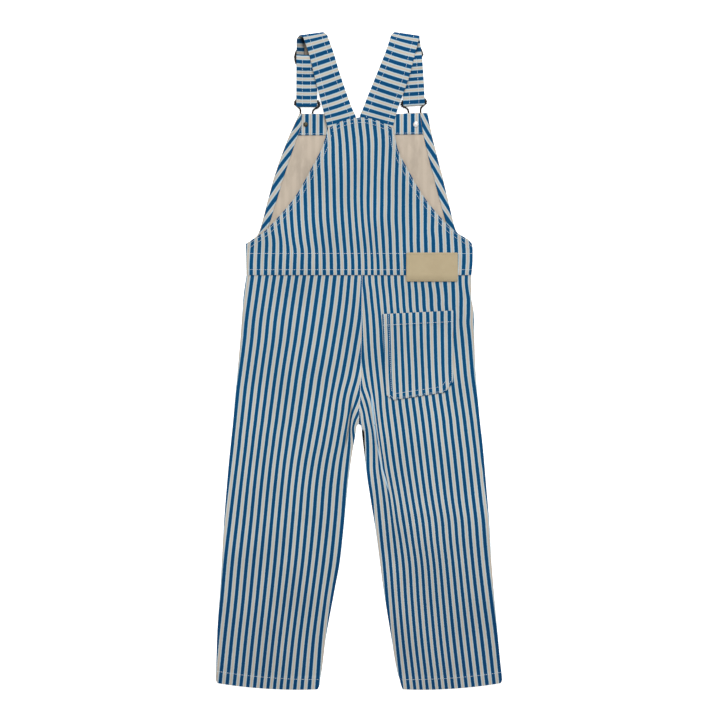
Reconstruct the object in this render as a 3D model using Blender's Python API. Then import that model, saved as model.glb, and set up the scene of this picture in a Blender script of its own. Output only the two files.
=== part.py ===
"""Children's striped dungarees, laid flat on their front with the back showing.

The frame has its origin on the surface, under the middle of the garment's box. +Y runs
from the hems to the shoulders, +X is the wearer's right and +Z points up, out of the back.
Sizes are in millimetres and become metres when a mesh is made.
"""

import math
from collections import namedtuple

import bmesh
import bpy
import numpy as np

MM = 0.001

# Cloth and the space between pieces
CLOTH = 1.2
FACING_CLOTH = 1.0
STRAP_CLOTH = 1.4
PATCH_LEATHER = 1.0
GAP = 0.3

# A leg and the bib's side seams are flattened tubes: each wall turns round by this much
LEG_DEPTH = 3.6
HEM_DEPTH = 4.7
HEM_CLOTH = 2.0
BIB_DEPTH = 5.1
EDGE_STEPS = 3

# The waist seam, where the bib's lower edges meet the legs
WAIST_Y = 111.2
LEG_TOP_Y = WAIST_Y - GAP
TONGUE_TOP_Y = 118.5
TONGUE_INSET = 3.5
WAIST_STEP = 0.6

# The top of the bib is lifted by the buttons, clips and straps under it
RISE_FROM_Y = 205.0
RISE_TO_Y = 288.0
FRONT_RISE = 4.6
BACK_RISE = 5.2

# The back legs stand up a little between their seams
PUFF = 1.2
PUFF_FADE = 25.0
FOLD_FADE = 6.0

# One section of both legs: its ends on the side seams and on the centre seam or inseams
LegSection = namedtuple(
    "LegSection",
    "side_y left_side right_side inner_y left_inner right_inner sag inseam cloth depth",
)
LEG_SECTIONS = [
    LegSection(LEG_TOP_Y, -147.6, 146.4, LEG_TOP_Y, 3.4, 3.7, 0, 0, CLOTH, LEG_DEPTH),
    LegSection(86, -149.8, 145.1, 85, 2.9, 3.2, 0, 0, CLOTH, LEG_DEPTH),
    LegSection(60, -152.3, 147.2, 57, 2.5, 2.8, 0, 0, CLOTH, LEG_DEPTH),
    LegSection(31, -154.7, 148.5, 26, 2.2, 2.5, 0, 0, CLOTH, LEG_DEPTH),
    LegSection(1, -157.5, 149.7, -5, 1.7, 2.0, 0, 0, CLOTH, LEG_DEPTH),
    LegSection(-27, -160.0, 151.2, -35, 1.0, 1.3, 0, 0, CLOTH, LEG_DEPTH),
    LegSection(-53, -162.3, 154.0, -57, 0.1, 0.4, 0, 0, CLOTH, LEG_DEPTH),
    LegSection(-72, -163.8, 155.6, -73, -0.8, -0.5, 0, 0, CLOTH, LEG_DEPTH),
    LegSection(-82, -164.7, 156.7, -81, -1.6, -1.3, 0, 0, CLOTH, LEG_DEPTH),
    LegSection(-86, -165.1, 157.2, -83.4, -3.4, 2.0, 0, 0.5, CLOTH, LEG_DEPTH),
    LegSection(-97, -166.0, 158.3, -94, -5.5, 4.4, 0, 1, CLOTH, LEG_DEPTH),
    LegSection(-122, -168.0, 161.2, -121, -9.8, 6.6, 0, 1, CLOTH, LEG_DEPTH),
    LegSection(-155, -171.2, 163.5, -156, -14.8, 10.8, 0, 1, CLOTH, LEG_DEPTH),
    LegSection(-220, -176.4, 168.8, -225, -22.0, 21.8, 0, 1, CLOTH, LEG_DEPTH),
    LegSection(-287, -180.7, 173.9, -292, -31.4, 31.4, 1.0, 1, CLOTH, LEG_DEPTH),
    LegSection(-352, -184.6, 178.4, -359, -44.0, 41.6, 2.0, 1, CLOTH, LEG_DEPTH),
    LegSection(-402, -185.6, 184.0, -409, -50.6, 51.7, 3.2, 1, CLOTH, LEG_DEPTH),
    LegSection(-404, -185.9, 184.4, -411, -50.9, 52.2, 3.2, 1, HEM_CLOTH, HEM_DEPTH),
    LegSection(-414, -186.0, 185.4, -421, -52.0, 54.6, 3.4, 1, HEM_CLOTH, HEM_DEPTH),
    LegSection(-418.3, -184.6, 183.8, -426.5, -54.4, 56.6, 3.4, 1, HEM_CLOTH, HEM_DEPTH),
]
LEG_PITCH = 26.0

# A soft fold in a back leg, along the line through its three places
Fold = namedtuple("Fold", "side x_top y_top x_mid y_mid x_foot y_foot half_width height")
LEG_FOLDS = [
    Fold("right", 5, -31, 22, -77, 38, -213, 8.0, 2.2),
    Fold("left", -9, -31, -11, -66, -13, -103, 6.0, 1.8),
    Fold("right", 134, 79, 137, 50, 139, 21, 7.0, 1.4),
]

# One section of a bib: its ends on the left and right edges, and how far it arches upwards
BibSection = namedtuple("BibSection", "left_y left_x right_y right_x arch seam")
BACK_BIB_SECTIONS = [
    BibSection(302.2, -40.8, 301.4, 44.5, 15.0, 0),
    BibSection(280, -47.7, 278, 49.1, 9.0, 0),
    BibSection(250, -63.1, 249, 63.1, 4.0, 0),
    BibSection(213, -84.5, 212, 85.2, 0, 0),
    BibSection(183, -110.0, 181, 111.3, 0, 0),
    BibSection(171.5, -121.0, 170, 123.0, 0, 0),
    BibSection(164, -129.5, 164, 132.2, 0, 0),
    BibSection(158, -138.0, 158, 140.6, 0, 0),
    BibSection(152, -146.6, 151.7, 146.6, 0, 0.4),
    BibSection(144, -148.1, 144, 147.6, 0, 1),
    BibSection(131, -148.2, 131, 147.0, 0, 1),
    BibSection(WAIST_Y, -147.6, WAIST_Y, 146.4, 0, 1),
]
FRONT_BIB_SECTIONS = [
    BibSection(322.2, -77.9, 323.2, 88.7, -7.4, 0),
    BibSection(300, -87.5, 300, 92.6, -2.0, 0),
    BibSection(271, -99.3, 270, 99.4, 0, 0),
    BibSection(235, -110.9, 234, 108.4, 0, 0),
    BibSection(201, -120.5, 200, 116.9, 0, 0),
    BibSection(173, -127.4, 170.5, 124.8, 0, 0),
    BibSection(164, -131.3, 162, 132.6, 0, 0),
    BibSection(158, -139.1, 157.5, 140.4, 0, 0),
    BibSection(152, -146.3, 152, 146.4, 0, 0.4),
    BibSection(144, -148.1, 144, 147.6, 0, 1),
    BibSection(131, -148.2, 131, 147.0, 0, 1),
    BibSection(WAIST_Y, -147.6, WAIST_Y, 146.4, 0, 1),
]
BIB_PITCH = 14.0
BIB_COLUMNS = 12
BIB_RIDGE = Fold("back", 10, 274, 11, 200, 9, 129, 16.0, 1.0)

# The front neckline stays straight near its ends and dips between the straps
NECK_POWER = 5

# Facings on the wrong side of the front bib
LEFT_FACING_SECTIONS = [
    BibSection(321.6, -77.5, 321.6, -68.2, 0, 0),
    BibSection(300, -86.7, 299, -77.4, 0, 0),
    BibSection(271, -98.5, 269, -88.7, 0, 0),
    BibSection(235, -110.1, 233, -100.6, 0, 0),
    BibSection(201, -119.8, 199, -111.0, 0, 0),
    BibSection(173, -127.0, 173, -119.4, 0, 0),
    BibSection(165, -130.4, 166, -122.6, 0, 0),
]
RIGHT_FACING_SECTIONS = [
    BibSection(321.9, 79.0, 322.3, 88.3, 0, 0),
    BibSection(299, 82.3, 300, 91.9, 0, 0),
    BibSection(269, 88.8, 270, 98.5, 0, 0),
    BibSection(233, 98.3, 234, 107.5, 0, 0),
    BibSection(199, 107.4, 200, 116.0, 0, 0),
    BibSection(172, 115.7, 171, 124.2, 0, 0),
    BibSection(164, 119.5, 165, 129.6, 0, 0),
]
TOP_FACING_SECTIONS = [
    BibSection(321.7, -67.7, 322.5, 78.5, -7.2, 0),
    BibSection(299, -76.9, 299, 81.8, 0, 0),
    BibSection(292.6, -79.4, 292.6, 82.9, 0, 0),
]
FACING_PITCH = 13.0

# Pocket on the right back leg and leather patch on the right of the waist seam
POCKET_SECTIONS = [
    BibSection(61.6, 29.6, 66.3, 121.8, 0, 0),
    BibSection(45.5, 30.3, 51.5, 121.8, 0, 0),
    BibSection(44.5, 30.4, 50.5, 121.8, 0, 0),
    BibSection(14, 31.5, 21, 121.8, 0, 0),
    BibSection(-15, 32.5, -8, 121.8, 0, 0),
    BibSection(-40.8, 33.6, -25.1, 121.7, 0, 0),
    BibSection(-50.2, 43.8, -40.0, 111.5, 0, 0),
]
POCKET_COLUMNS = 8
POCKET_HEM_Y = 48.0
POCKET_HEM_CLOTH = 1.9
PATCH_LEFT, PATCH_RIGHT = 61.7, 129.4
PATCH_FOOT, PATCH_TOP = 102.8, 141.6
PATCH_DROP = 1.3
PATCH_FALL = 9.0
PATCH_ROWS_ABOVE, PATCH_ROWS_BELOW, PATCH_COLUMNS = 4, 2, 4

# The back part of a strap, from its sewn end under the back bib to its fold at the shoulder
StrapSection = namedtuple("StrapSection", "left_x left_y right_x right_y height")
STRAP_LOW, STRAP_HIGH = 8.1, 10.0
STRAP_BACKS = {
    "left": [
        StrapSection(-37.7, 290, -9.8, 299, STRAP_LOW),
        StrapSection(-41.3, 304.2, -4.6, 316.0, STRAP_LOW),
        StrapSection(-46.6, 324, -10.0, 330, STRAP_LOW),
        StrapSection(-59.4, 374, -24.9, 375, 9.6),
        StrapSection(-65.3, 398, -33.2, 400, STRAP_HIGH),
        StrapSection(-72.9, 420.4, -41.9, 424.4, STRAP_HIGH),
    ],
    "right": [
        StrapSection(5.2, 299, 40.3, 290, STRAP_LOW),
        StrapSection(0.3, 316.0, 44.3, 304.5, STRAP_LOW),
        StrapSection(5.4, 331, 49.9, 325, STRAP_LOW),
        StrapSection(22.7, 375, 66.0, 371, 9.6),
        StrapSection(33.0, 400, 71.0, 395, STRAP_HIGH),
        StrapSection(40.2, 422.6, 74.3, 418.2, STRAP_HIGH),
    ],
}
STRAP_PITCH = 16.0
STRAP_COLUMNS = 3
FOLD_STEPS = 8
FOLD_HEIGHT = 2.8

# The front part of a strap hangs down from its fold, turns round the clip's bar and goes
# back up to the slide. Places along it are measured up from its lower end, "up".
Drop = namedtuple("Drop", "foot_x foot_y lean top_left_x top_left_y top_right_x top_right_y")
DROPS = {
    "left": Drop(-68.4, 330.4, -0.3, -81.9, 419.4, -53.4, 423.4),
    "right": Drop(70.9, 331.9, 4.0, 49.4, 424.6, 78.4, 420.0),
}
STRAP_HALF_WIDTH = 13.8
FOOT_HALF_WIDTH = 8.8
FOOT_TAPER = 5.0
BAR_TURN = 2.0
MAIN_HEIGHTS = [(2.7, 1.3), (12, 1.3), (20, 0.7), (43, 0.7), (52, 2.8), (90, 2.8)]
RETURN_HEIGHTS = [(2.7, 5.3), (38, 5.3), (58, 8.3), (65, 8.3)]
MAIN_STATIONS = [82, 74, 65, 57, 52, 48, 43, 34, 20, 12, 7, 5]
RETURN_STATIONS = [5, 7, 12, 22, 32, 38, 44, 50, 56, 60]
TAIL_STATIONS = [60, 53]
TAIL_HEIGHT = 4.5

# Slide: a flat wire frame with a raised middle bar
SLIDE_UP = 65.0
SLIDE_WIRE = 0.9
SLIDE_HALF_WIDTH = 15.0
SLIDE_HALF_LENGTH = 8.5
SLIDE_CORNER = 1.8
SLIDE_BEND = 1.2
SLIDE_BAR_HEIGHT = 6.4
SLIDE_TURN = 1.9
SLIDE_KNOB = 1.5
SLIDE_KNOB_OUT = 0.7
SLIDE_KNOB_HEIGHT = 4.4

# Clip: one closed wire that hooks the button's neck and carries the strap on its bar
CLIP_WIRE = 1.0
CLIP_HEIGHT = 3.3
CLIP_LOOP = 3.7
ClipPoint = namedtuple("ClipPoint", "across up")
CLIP_SIDE = [
    ClipPoint(4.1, 4.5),
    ClipPoint(6.0, 9.5),
    ClipPoint(7.1, 14.0),
    ClipPoint(7.5, 17.5),
    ClipPoint(9.6, 20.3),
    ClipPoint(13.0, 22.8),
    ClipPoint(15.9, 25.1),
    ClipPoint(16.8, 27.0),
    ClipPoint(15.3, 29.6),
    ClipPoint(13.2, 31.2),
    ClipPoint(11.2, 31.6),
    ClipPoint(5.6, 31.6),
]
CLIP_LEANS = {"left": -3.0, "right": 5.5}
BUTTON_CENTRES = {"left": (-68.9, 308.0), "right": (73.3, 308.0)}
WIRE_SIDES = 8

# Button: a cap, a neck through the bib, and a domed back on the facing
BUTTON_PROFILE = [
    (0.0, 0.0),
    (6.6, 0.0),
    (7.6, 0.5),
    (8.0, 1.2),
    (7.6, 2.0),
    (2.2, 2.0),
    (2.2, 7.4),
    (3.3, 7.4),
    (3.4, 7.9),
    (2.6, 8.5),
    (0.0, 8.9),
]
BUTTON_SIDES = 20
BUTTON_HOLE = 2.5

# Colours as red, green, blue; then roughness and metallic
FINISHES = {
    "striped_cloth": ((0.20, 0.32, 0.42), 0.85, 0.0),
    "aged_brass": ((0.10, 0.075, 0.055), 0.40, 1.0),
    "silver": ((0.72, 0.72, 0.70), 0.30, 1.0),
    "tan_leather": ((0.48, 0.39, 0.25), 0.60, 0.0),
}


def ease(amount):
    amount = min(max(amount, 0.0), 1.0)
    return amount * amount * (3 - 2 * amount)


def eased(stops, place):
    """The value at a place, easing from each stop (place, value) to the next."""
    if place <= stops[0][0]:
        return stops[0][1]
    for (start, low), (end, high) in zip(stops, stops[1:]):
        if place <= end:
            return low + (high - low) * ease((place - start) / (end - start))
    return stops[-1][1]


def slopes_at(places, values):
    """Slopes that keep a cubic through the values from passing beyond them."""
    steps = np.diff(places)
    chords = np.diff(values, axis=0) / steps[:, None]
    slopes = np.zeros_like(values)
    slopes[0], slopes[-1] = chords[0], chords[-1]
    before, after = chords[:-1], chords[1:]
    same = before * after > 0
    slopes[1:-1][same] = 2 * before[same] * after[same] / (before[same] + after[same])
    return slopes


def filled_in(sections, pitch):
    """Rows between the sections, about a pitch apart, on smooth curves through them."""
    values = np.array(sections, float)
    ends = values[:, :4]
    places = np.concatenate([[0], np.cumsum(np.abs(np.diff(ends, axis=0)).max(axis=1))])
    slopes = slopes_at(places, values)
    rows = [values[0]]
    for i, span in enumerate(np.diff(places)):
        for step in range(1, max(1, round(span / pitch)) + 1):
            t = step / max(1, round(span / pitch))
            rows.append(
                (1 + 2 * t) * (1 - t) ** 2 * values[i]
                + t * (1 - t) ** 2 * span * slopes[i]
                + t * t * (3 - 2 * t) * values[i + 1]
                + t * t * (t - 1) * span * slopes[i + 1]
            )
    return rows


def crown(part):
    """An arch across a row: none at either end and 1 in the middle."""
    return 4 * part * (1 - part)


def curled_edge(radius, roll):
    """Places of a wall's outer face from its edge inwards, as (across, height, angle)."""
    arc = radius * math.pi / 2
    places = []
    for step in range(EDGE_STEPS + 1):
        along = arc * step / EDGE_STEPS
        bend = (arc - along) * roll / radius
        if roll < 0.01:
            places.append((along, 0.0, 0.0))
        else:
            turn = radius / roll
            across = turn * (math.sin(roll * math.pi / 2) - math.sin(bend))
            places.append((across, turn * (1 - math.cos(bend)), bend))
    return places


# One row of a panel's wall, with its ends and how far each edge turns round
Row = namedtuple("Row", "left right arch power left_roll right_roll cloth depth")


def wall_row(row, columns, height_of, is_back):
    """The outer and inner points of one row. columns holds fractions of its flat stretch."""
    left, right = np.array(row.left, float), np.array(row.right, float)
    width = np.linalg.norm(right - left)
    along = (right - left) / width
    radius = (row.depth - GAP) / 2
    left_edge = curled_edge(radius, row.left_roll)
    right_edge = [(width - a, h, -b) for a, h, b in curled_edge(radius, row.right_roll)]
    start, end = left_edge[-1][0], right_edge[-1][0]
    flat = [(start + (end - start) * part, 0.0, 0.0) for part in columns]
    outer, inner = [], []
    for across, height, bend in left_edge + flat + right_edge[::-1]:
        for points, inset in ((outer, 0.0), (inner, row.cloth)):
            place = across + inset * math.sin(bend)
            level = min(height + inset * math.cos(bend), max(radius, row.cloth))
            x, y = left + along * place
            y += row.arch * crown(place / width) ** row.power
            added = height_of(x, y, min(place, width - place))
            points.append((x, y, row.depth - level + added if is_back else level + added))
    return outer, inner


def even(count):
    return [i / count for i in range(1, count)]


def wall_object(name, rows, columns, height_of, is_back, finish):
    outer, inner = zip(*(wall_row(row, columns, height_of, is_back) for row in rows))
    return sheet_object(name, outer, inner, finish)


def sheet_object(name, outer, inner, finish):
    """One closed wall between two grids of points with the same rows and columns."""
    rows, columns = len(outer), len(outer[0])
    points = [p for grid in (outer, inner) for row in grid for p in row]

    def at(side, row, column):
        return (side * rows + row) * columns + column

    faces = []
    for r in range(rows - 1):
        for c in range(columns - 1):
            faces.append((at(0, r, c), at(0, r + 1, c), at(0, r + 1, c + 1), at(0, r, c + 1)))
            faces.append((at(1, r, c), at(1, r, c + 1), at(1, r + 1, c + 1), at(1, r + 1, c)))
        for c, (a, b) in ((0, (0, 1)), (columns - 1, (1, 0))):
            faces.append((at(a, r, c), at(b, r, c), at(b, r + 1, c), at(a, r + 1, c)))
    for c in range(columns - 1):
        for r, (a, b) in ((0, (1, 0)), (rows - 1, (0, 1))):
            faces.append((at(a, r, c), at(b, r, c), at(b, r, c + 1), at(a, r, c + 1)))
    return mesh_object(name, points, faces, finish)


def mesh_object(name, points, faces, finish):
    """A named object from points in millimetres, with its faces turned outwards."""
    mesh = bpy.data.meshes.new(name)
    mesh.from_pydata([tuple(MM * v for v in p) for p in points], [], faces)
    shape = bmesh.new()
    shape.from_mesh(mesh)
    bmesh.ops.recalc_face_normals(shape, faces=shape.faces)
    if shape.calc_volume(signed=True) < 0:
        bmesh.ops.reverse_faces(shape, faces=shape.faces)
    shape.to_mesh(mesh)
    shape.free()
    mesh.shade_smooth()
    mesh.set_sharp_from_angle(angle=math.radians(40))
    mesh.materials.append(material_of(finish))
    thing = bpy.data.objects.new(name, mesh)
    bpy.context.scene.collection.objects.link(thing)
    return thing


def material_of(finish):
    if finish in bpy.data.materials:
        return bpy.data.materials[finish]
    colour, roughness, metallic = FINISHES[finish]
    material = bpy.data.materials.new(finish)
    material.use_nodes = True
    shader = material.node_tree.nodes["Principled BSDF"]
    shader.inputs["Base Color"].default_value = (*colour, 1.0)
    shader.inputs["Roughness"].default_value = roughness
    shader.inputs["Metallic"].default_value = metallic
    return material


def fold_height(fold, x, y):
    """How high a fold stands at a place: a soft ridge that fades out at both its ends."""
    line = [(fold.x_top, fold.y_top), (fold.x_mid, fold.y_mid), (fold.x_foot, fold.y_foot)]
    nearest, along = 1e9, 0.0
    for i, (start, end) in enumerate(zip(line, line[1:])):
        start, way = np.array(start, float), np.subtract(end, start)
        t = float(np.clip(np.dot((x, y) - start, way) / way.dot(way), 0, 1))
        distance = math.dist((x, y), start + t * way)
        if distance < nearest:
            nearest, along = distance, (i + t) / 2
    across = 1 - ease(nearest / fold.half_width)
    return fold.height * across * ease(4 * along) * ease(4 * (1 - along))


def leg_lift(side, x, y, inset):
    """How far a back leg stands above its flat height, at this distance from its seams."""
    puff = PUFF * ease(inset / PUFF_FADE) * ease((95 - y) / 45)
    folds = sum(fold_height(fold, x, y) for fold in LEG_FOLDS if fold.side == side)
    return puff + folds * ease(inset / FOLD_FADE)


def leg_rows(side):
    """The rows of one leg's walls, from the waist seam to the hem."""
    is_left = side == "left"
    rows = []
    for values in filled_in(LEG_SECTIONS, LEG_PITCH):
        s = LegSection(*values)
        outer = (s.left_side if is_left else s.right_side, s.side_y)
        inner = (s.left_inner if is_left else s.right_inner, s.inner_y)
        ends = (outer, inner) if is_left else (inner, outer)
        rolls = (1.0, s.inseam) if is_left else (s.inseam, 1.0)
        rows.append(Row(*ends, -s.sag, 1, *rolls, s.cloth, s.depth))
    return rows


def back_leg_rows(side):
    """A leg's rows with the seam allowance that lies under the back bib."""
    rows = leg_rows(side)
    inset = TONGUE_INSET if side == "left" else -TONGUE_INSET
    (x_left, y), (x_right, _) = rows[0].left, rows[0].right
    ends = [x_left + inset, x_right] if side == "left" else [x_left, x_right + inset]
    flat = rows[0]._replace(left_roll=0.0, right_roll=0.0)
    tongue = [
        flat._replace(left=(ends[0], level), right=(ends[1], level))
        for level in (TONGUE_TOP_Y, y)
    ]
    rows[0] = rows[0]._replace(left=(x_left, y - WAIST_STEP), right=(x_right, y - WAIST_STEP))
    return tongue + rows


def add_legs():
    """Two walls for each leg, with columns set closer where the folds are."""
    near = [0.03, 0.055, 0.08, 0.105, 0.13, 0.155, 0.18, 0.21, 0.25]
    far = [0.32, 0.42, 0.54, 0.66, 0.78, 0.87, 0.94]
    for side in ("left", "right"):
        columns = near + far
        if side == "left":
            columns = [1 - part for part in reversed(columns)]
        wall_object(
            f"back_leg_{side}",
            back_leg_rows(side),
            columns,
            lambda x, y, inset, side=side: leg_lift(side, x, y, inset),
            True,
            "striped_cloth",
        )
        wall_object(
            f"front_leg_{side}", leg_rows(side), even(6), lambda *_: 0.0, False, "striped_cloth"
        )


def bib_rows(sections, power):
    rows = []
    for values in filled_in(sections, BIB_PITCH):
        s = BibSection(*values)
        ends = ((s.left_x, s.left_y), (s.right_x, s.right_y))
        rows.append(Row(*ends, s.arch, power, s.seam, s.seam, CLOTH, BIB_DEPTH))
    return rows


def rise(y, height):
    return height * ease((y - RISE_FROM_Y) / (RISE_TO_Y - RISE_FROM_Y))


def front_height(x, y, inset):
    return rise(y, FRONT_RISE)


def back_height(x, y, inset):
    return rise(y, BACK_RISE) + fold_height(BIB_RIDGE, x, y)


def facing_height(y):
    return rise(y, FRONT_RISE) + CLOTH + GAP


def add_bibs():
    rows = bib_rows(BACK_BIB_SECTIONS, 1)
    wall_object("back_bib", rows, even(BIB_COLUMNS), back_height, True, "striped_cloth")
    rows = bib_rows(FRONT_BIB_SECTIONS, NECK_POWER)
    bib = wall_object("front_bib", rows, even(8), front_height, False, "striped_cloth")
    cut_button_holes(bib)
    for name, sections in (
        ("bib_side_facing_left", LEFT_FACING_SECTIONS),
        ("bib_side_facing_right", RIGHT_FACING_SECTIONS),
    ):
        add_facing(name, sections, 2)
    cut_button_holes(add_facing("bib_top_facing", TOP_FACING_SECTIONS, 10))


def add_facing(name, sections, columns):
    """A flat facing on the wrong side of the front bib, made from the bib's heights."""
    outer, inner = [], []
    for values in filled_in(sections, FACING_PITCH):
        s = BibSection(*values)
        places = np.linspace((s.left_x, s.left_y), (s.right_x, s.right_y), columns + 1)
        places[:, 1] += s.arch * crown(np.linspace(0, 1, columns + 1)) ** NECK_POWER
        for points, added in ((outer, FACING_CLOTH), (inner, 0.0)):
            points.append([(x, y, facing_height(y) + added) for x, y in places])
    return sheet_object(name, outer, inner, "striped_cloth")


def cut_button_holes(panel):
    for side, centre in BUTTON_CENTRES.items():
        bpy.ops.mesh.primitive_cylinder_add(
            vertices=16,
            radius=BUTTON_HOLE * MM,
            depth=30 * MM,
            location=(centre[0] * MM, centre[1] * MM, 0),
        )
        cutter = bpy.context.object
        cutter.name = f"{panel.name}_hole_{side}"
        cutter.hide_render = True
        cutter.display_type = "WIRE"
        hole = panel.modifiers.new(f"hole_{side}", "BOOLEAN")
        hole.operation = "DIFFERENCE"
        hole.object = cutter


def add_pocket():
    """A patch pocket made from the leg's own heights, moved out, with a folded top hem."""
    outer, inner = [], []
    for values in filled_in(POCKET_SECTIONS, 20.0):
        s = BibSection(*values)
        places = np.linspace((s.left_x, s.left_y), (s.right_x, s.right_y), POCKET_COLUMNS + 1)
        middle = (s.left_y + s.right_y) / 2
        cloth = POCKET_HEM_CLOTH if middle > POCKET_HEM_Y else CLOTH
        base = [LEG_DEPTH + leg_lift("right", x, y, PUFF_FADE) + GAP for x, y in places]
        inner.append([(x, y, z) for (x, y), z in zip(places, base)])
        outer.append([(x, y, z + cloth) for (x, y), z in zip(places, base)])
    sheet_object("back_pocket", outer, inner, "striped_cloth")


def add_patch():
    """A leather patch across the waist seam. Below the seam it drops towards the leg."""
    outer, inner = [], []
    above = np.linspace(PATCH_TOP, WAIST_Y, PATCH_ROWS_ABOVE + 1)
    below = np.linspace(WAIST_Y, PATCH_FOOT, PATCH_ROWS_BELOW + 1)[1:]
    for y in [*above, *below]:
        drop = PATCH_DROP * ease((WAIST_Y - y) / PATCH_FALL)
        base = BIB_DEPTH + GAP - drop
        places = np.linspace(PATCH_LEFT, PATCH_RIGHT, PATCH_COLUMNS + 1)
        inner.append([(x, y, base) for x in places])
        outer.append([(x, y, base + PATCH_LEATHER) for x in places])
    sheet_object("waist_patch", outer, inner, "tan_leather")


def drop_axes(side):
    """The lower end of a strap's front part, and the directions up it and across it."""
    drop = DROPS[side]
    lean = math.radians(drop.lean)
    up = np.array((-math.sin(lean), math.cos(lean)))
    return np.array((drop.foot_x, drop.foot_y)), up, np.array((up[1], -up[0]))


def half_width_at(up):
    return FOOT_HALF_WIDTH + (STRAP_HALF_WIDTH - FOOT_HALF_WIDTH) * ease(up / FOOT_TAPER)


def drop_row(side, up, height):
    """The two ends of a row of the strap's front part, as points in space."""
    foot, upwards, across = drop_axes(side)
    middle = foot + upwards * up
    reach = across * half_width_at(up)
    return np.array([(*(middle - reach), height), (*(middle + reach), height)])


def turned_rows(side, up, height, radius, first, last):
    """Rows round a bar at this place, between two angles from the strap's direction."""
    rows = []
    for step in range(FOLD_STEPS + 1):
        angle = math.radians(first + (last - first) * step / FOLD_STEPS)
        shift = up + radius * math.cos(angle)
        rows.append(drop_row(side, shift, height + radius * math.sin(angle)))
    return rows


def shoulder_fold(upper, lower):
    """Rows round the shoulder fold, from the strap's upper row to its lower one."""
    rows = []
    radius = (upper[0][2] - lower[0][2]) / 2
    for step in range(1, FOLD_STEPS):
        part = step / FOLD_STEPS
        row = upper + (lower - upper) * part
        along = row[1][:2] - row[0][:2]
        outwards = np.array((-along[1], along[0])) / np.linalg.norm(along)
        angle = math.pi * part
        row[:, :2] += outwards * radius * math.sin(angle)
        row[:, 2] = lower[0][2] + radius * (1 + math.cos(angle))
        rows.append(row)
    return rows


def strap_rows(side):
    """Every row of a strap, from its sewn end on the back to its end under the slide."""
    rows = []
    for values in filled_in(STRAP_BACKS[side], STRAP_PITCH):
        s = StrapSection(*values)
        rows.append(
            np.array([(s.left_x, s.left_y, s.height), (s.right_x, s.right_y, s.height)])
        )
    drop = DROPS[side]
    lower = np.array(
        [
            (drop.top_left_x, drop.top_left_y, FOLD_HEIGHT),
            (drop.top_right_x, drop.top_right_y, FOLD_HEIGHT),
        ]
    )
    rows += shoulder_fold(rows[-1], lower)
    rows.append(lower)
    rows += [drop_row(side, up, eased(MAIN_HEIGHTS, up)) for up in MAIN_STATIONS]
    rows += turned_rows(side, BAR_TURN + STRAP_CLOTH / 2, CLIP_HEIGHT, BAR_TURN, 270, 90)
    rows += [drop_row(side, up, eased(RETURN_HEIGHTS, up)) for up in RETURN_STATIONS]
    rows += turned_rows(side, SLIDE_UP, SLIDE_BAR_HEIGHT, SLIDE_TURN, 90, -90)
    rows += [drop_row(side, up, TAIL_HEIGHT) for up in TAIL_STATIONS]
    return rows


def add_straps():
    """Each strap is one folded ribbon with half its cloth on each side of its rows."""
    for side in ("left", "right"):
        rows = strap_rows(side)
        middles = np.array([(row[0] + row[1]) / 2 for row in rows])
        ways = np.gradient(middles, axis=0)
        outer, inner = [], []
        for row, way in zip(rows, ways):
            out = np.cross(row[1] - row[0], way)
            out *= STRAP_CLOTH / 2 / np.linalg.norm(out)
            places = np.linspace(row[0], row[1], STRAP_COLUMNS + 1)
            outer.append([tuple(p + out) for p in places])
            inner.append([tuple(p - out) for p in places])
        sheet_object(f"strap_{side}", outer, inner, "striped_cloth")


def tube_mesh(path, radius, closed):
    """Points and faces of a round wire along a path, with ends filled unless it is closed."""
    path = np.array(path, float)
    if closed:
        ways = np.roll(path, -1, axis=0) - np.roll(path, 1, axis=0)
    else:
        ways = np.gradient(path, axis=0)
    ways /= np.linalg.norm(ways, axis=1)[:, None]
    points = []
    side = np.array((0.0, 0.0, 1.0))
    if abs(ways[0][2]) > 0.9:
        side = np.array((0.0, 1.0, 0.0))
    for place, way in zip(path, ways):
        side = side - way * side.dot(way)
        side /= np.linalg.norm(side)
        other = np.cross(way, side)
        for step in range(WIRE_SIDES):
            angle = math.tau * (step + 0.5) / WIRE_SIDES
            reach = radius * (math.cos(angle) * side + math.sin(angle) * other)
            points.append(tuple(place + reach))
    count = len(path)
    faces = []
    for i in range(count if closed else count - 1):
        for j in range(WIRE_SIDES):
            k = (j + 1) % WIRE_SIDES
            a, b = i * WIRE_SIDES, (i + 1) % count * WIRE_SIDES
            faces.append((a + j, a + k, b + k, b + j))
    if not closed:
        last = (count - 1) * WIRE_SIDES
        faces.append(tuple(range(WIRE_SIDES)))
        faces.append(tuple(last + j for j in range(WIRE_SIDES)))
    return points, faces


def arc(centre, radius, first, last, steps):
    """Points on an arc in the plane, between two angles in degrees."""
    angles = np.radians(np.linspace(first, last, steps + 1))
    return [
        (centre[0] + radius * math.cos(a), centre[1] + radius * math.sin(a)) for a in angles
    ]


def rounded_frame():
    """The slide's outline, as (across, up) from its middle."""
    across = SLIDE_HALF_WIDTH - SLIDE_CORNER
    along = SLIDE_HALF_LENGTH - SLIDE_CORNER
    outline = []
    for turn, (x, y) in enumerate(((1, 1), (-1, 1), (-1, -1), (1, -1))):
        outline += arc((x * across, y * along), SLIDE_CORNER, 90 * turn, 90 * (turn + 1), 3)
    return outline


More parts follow.
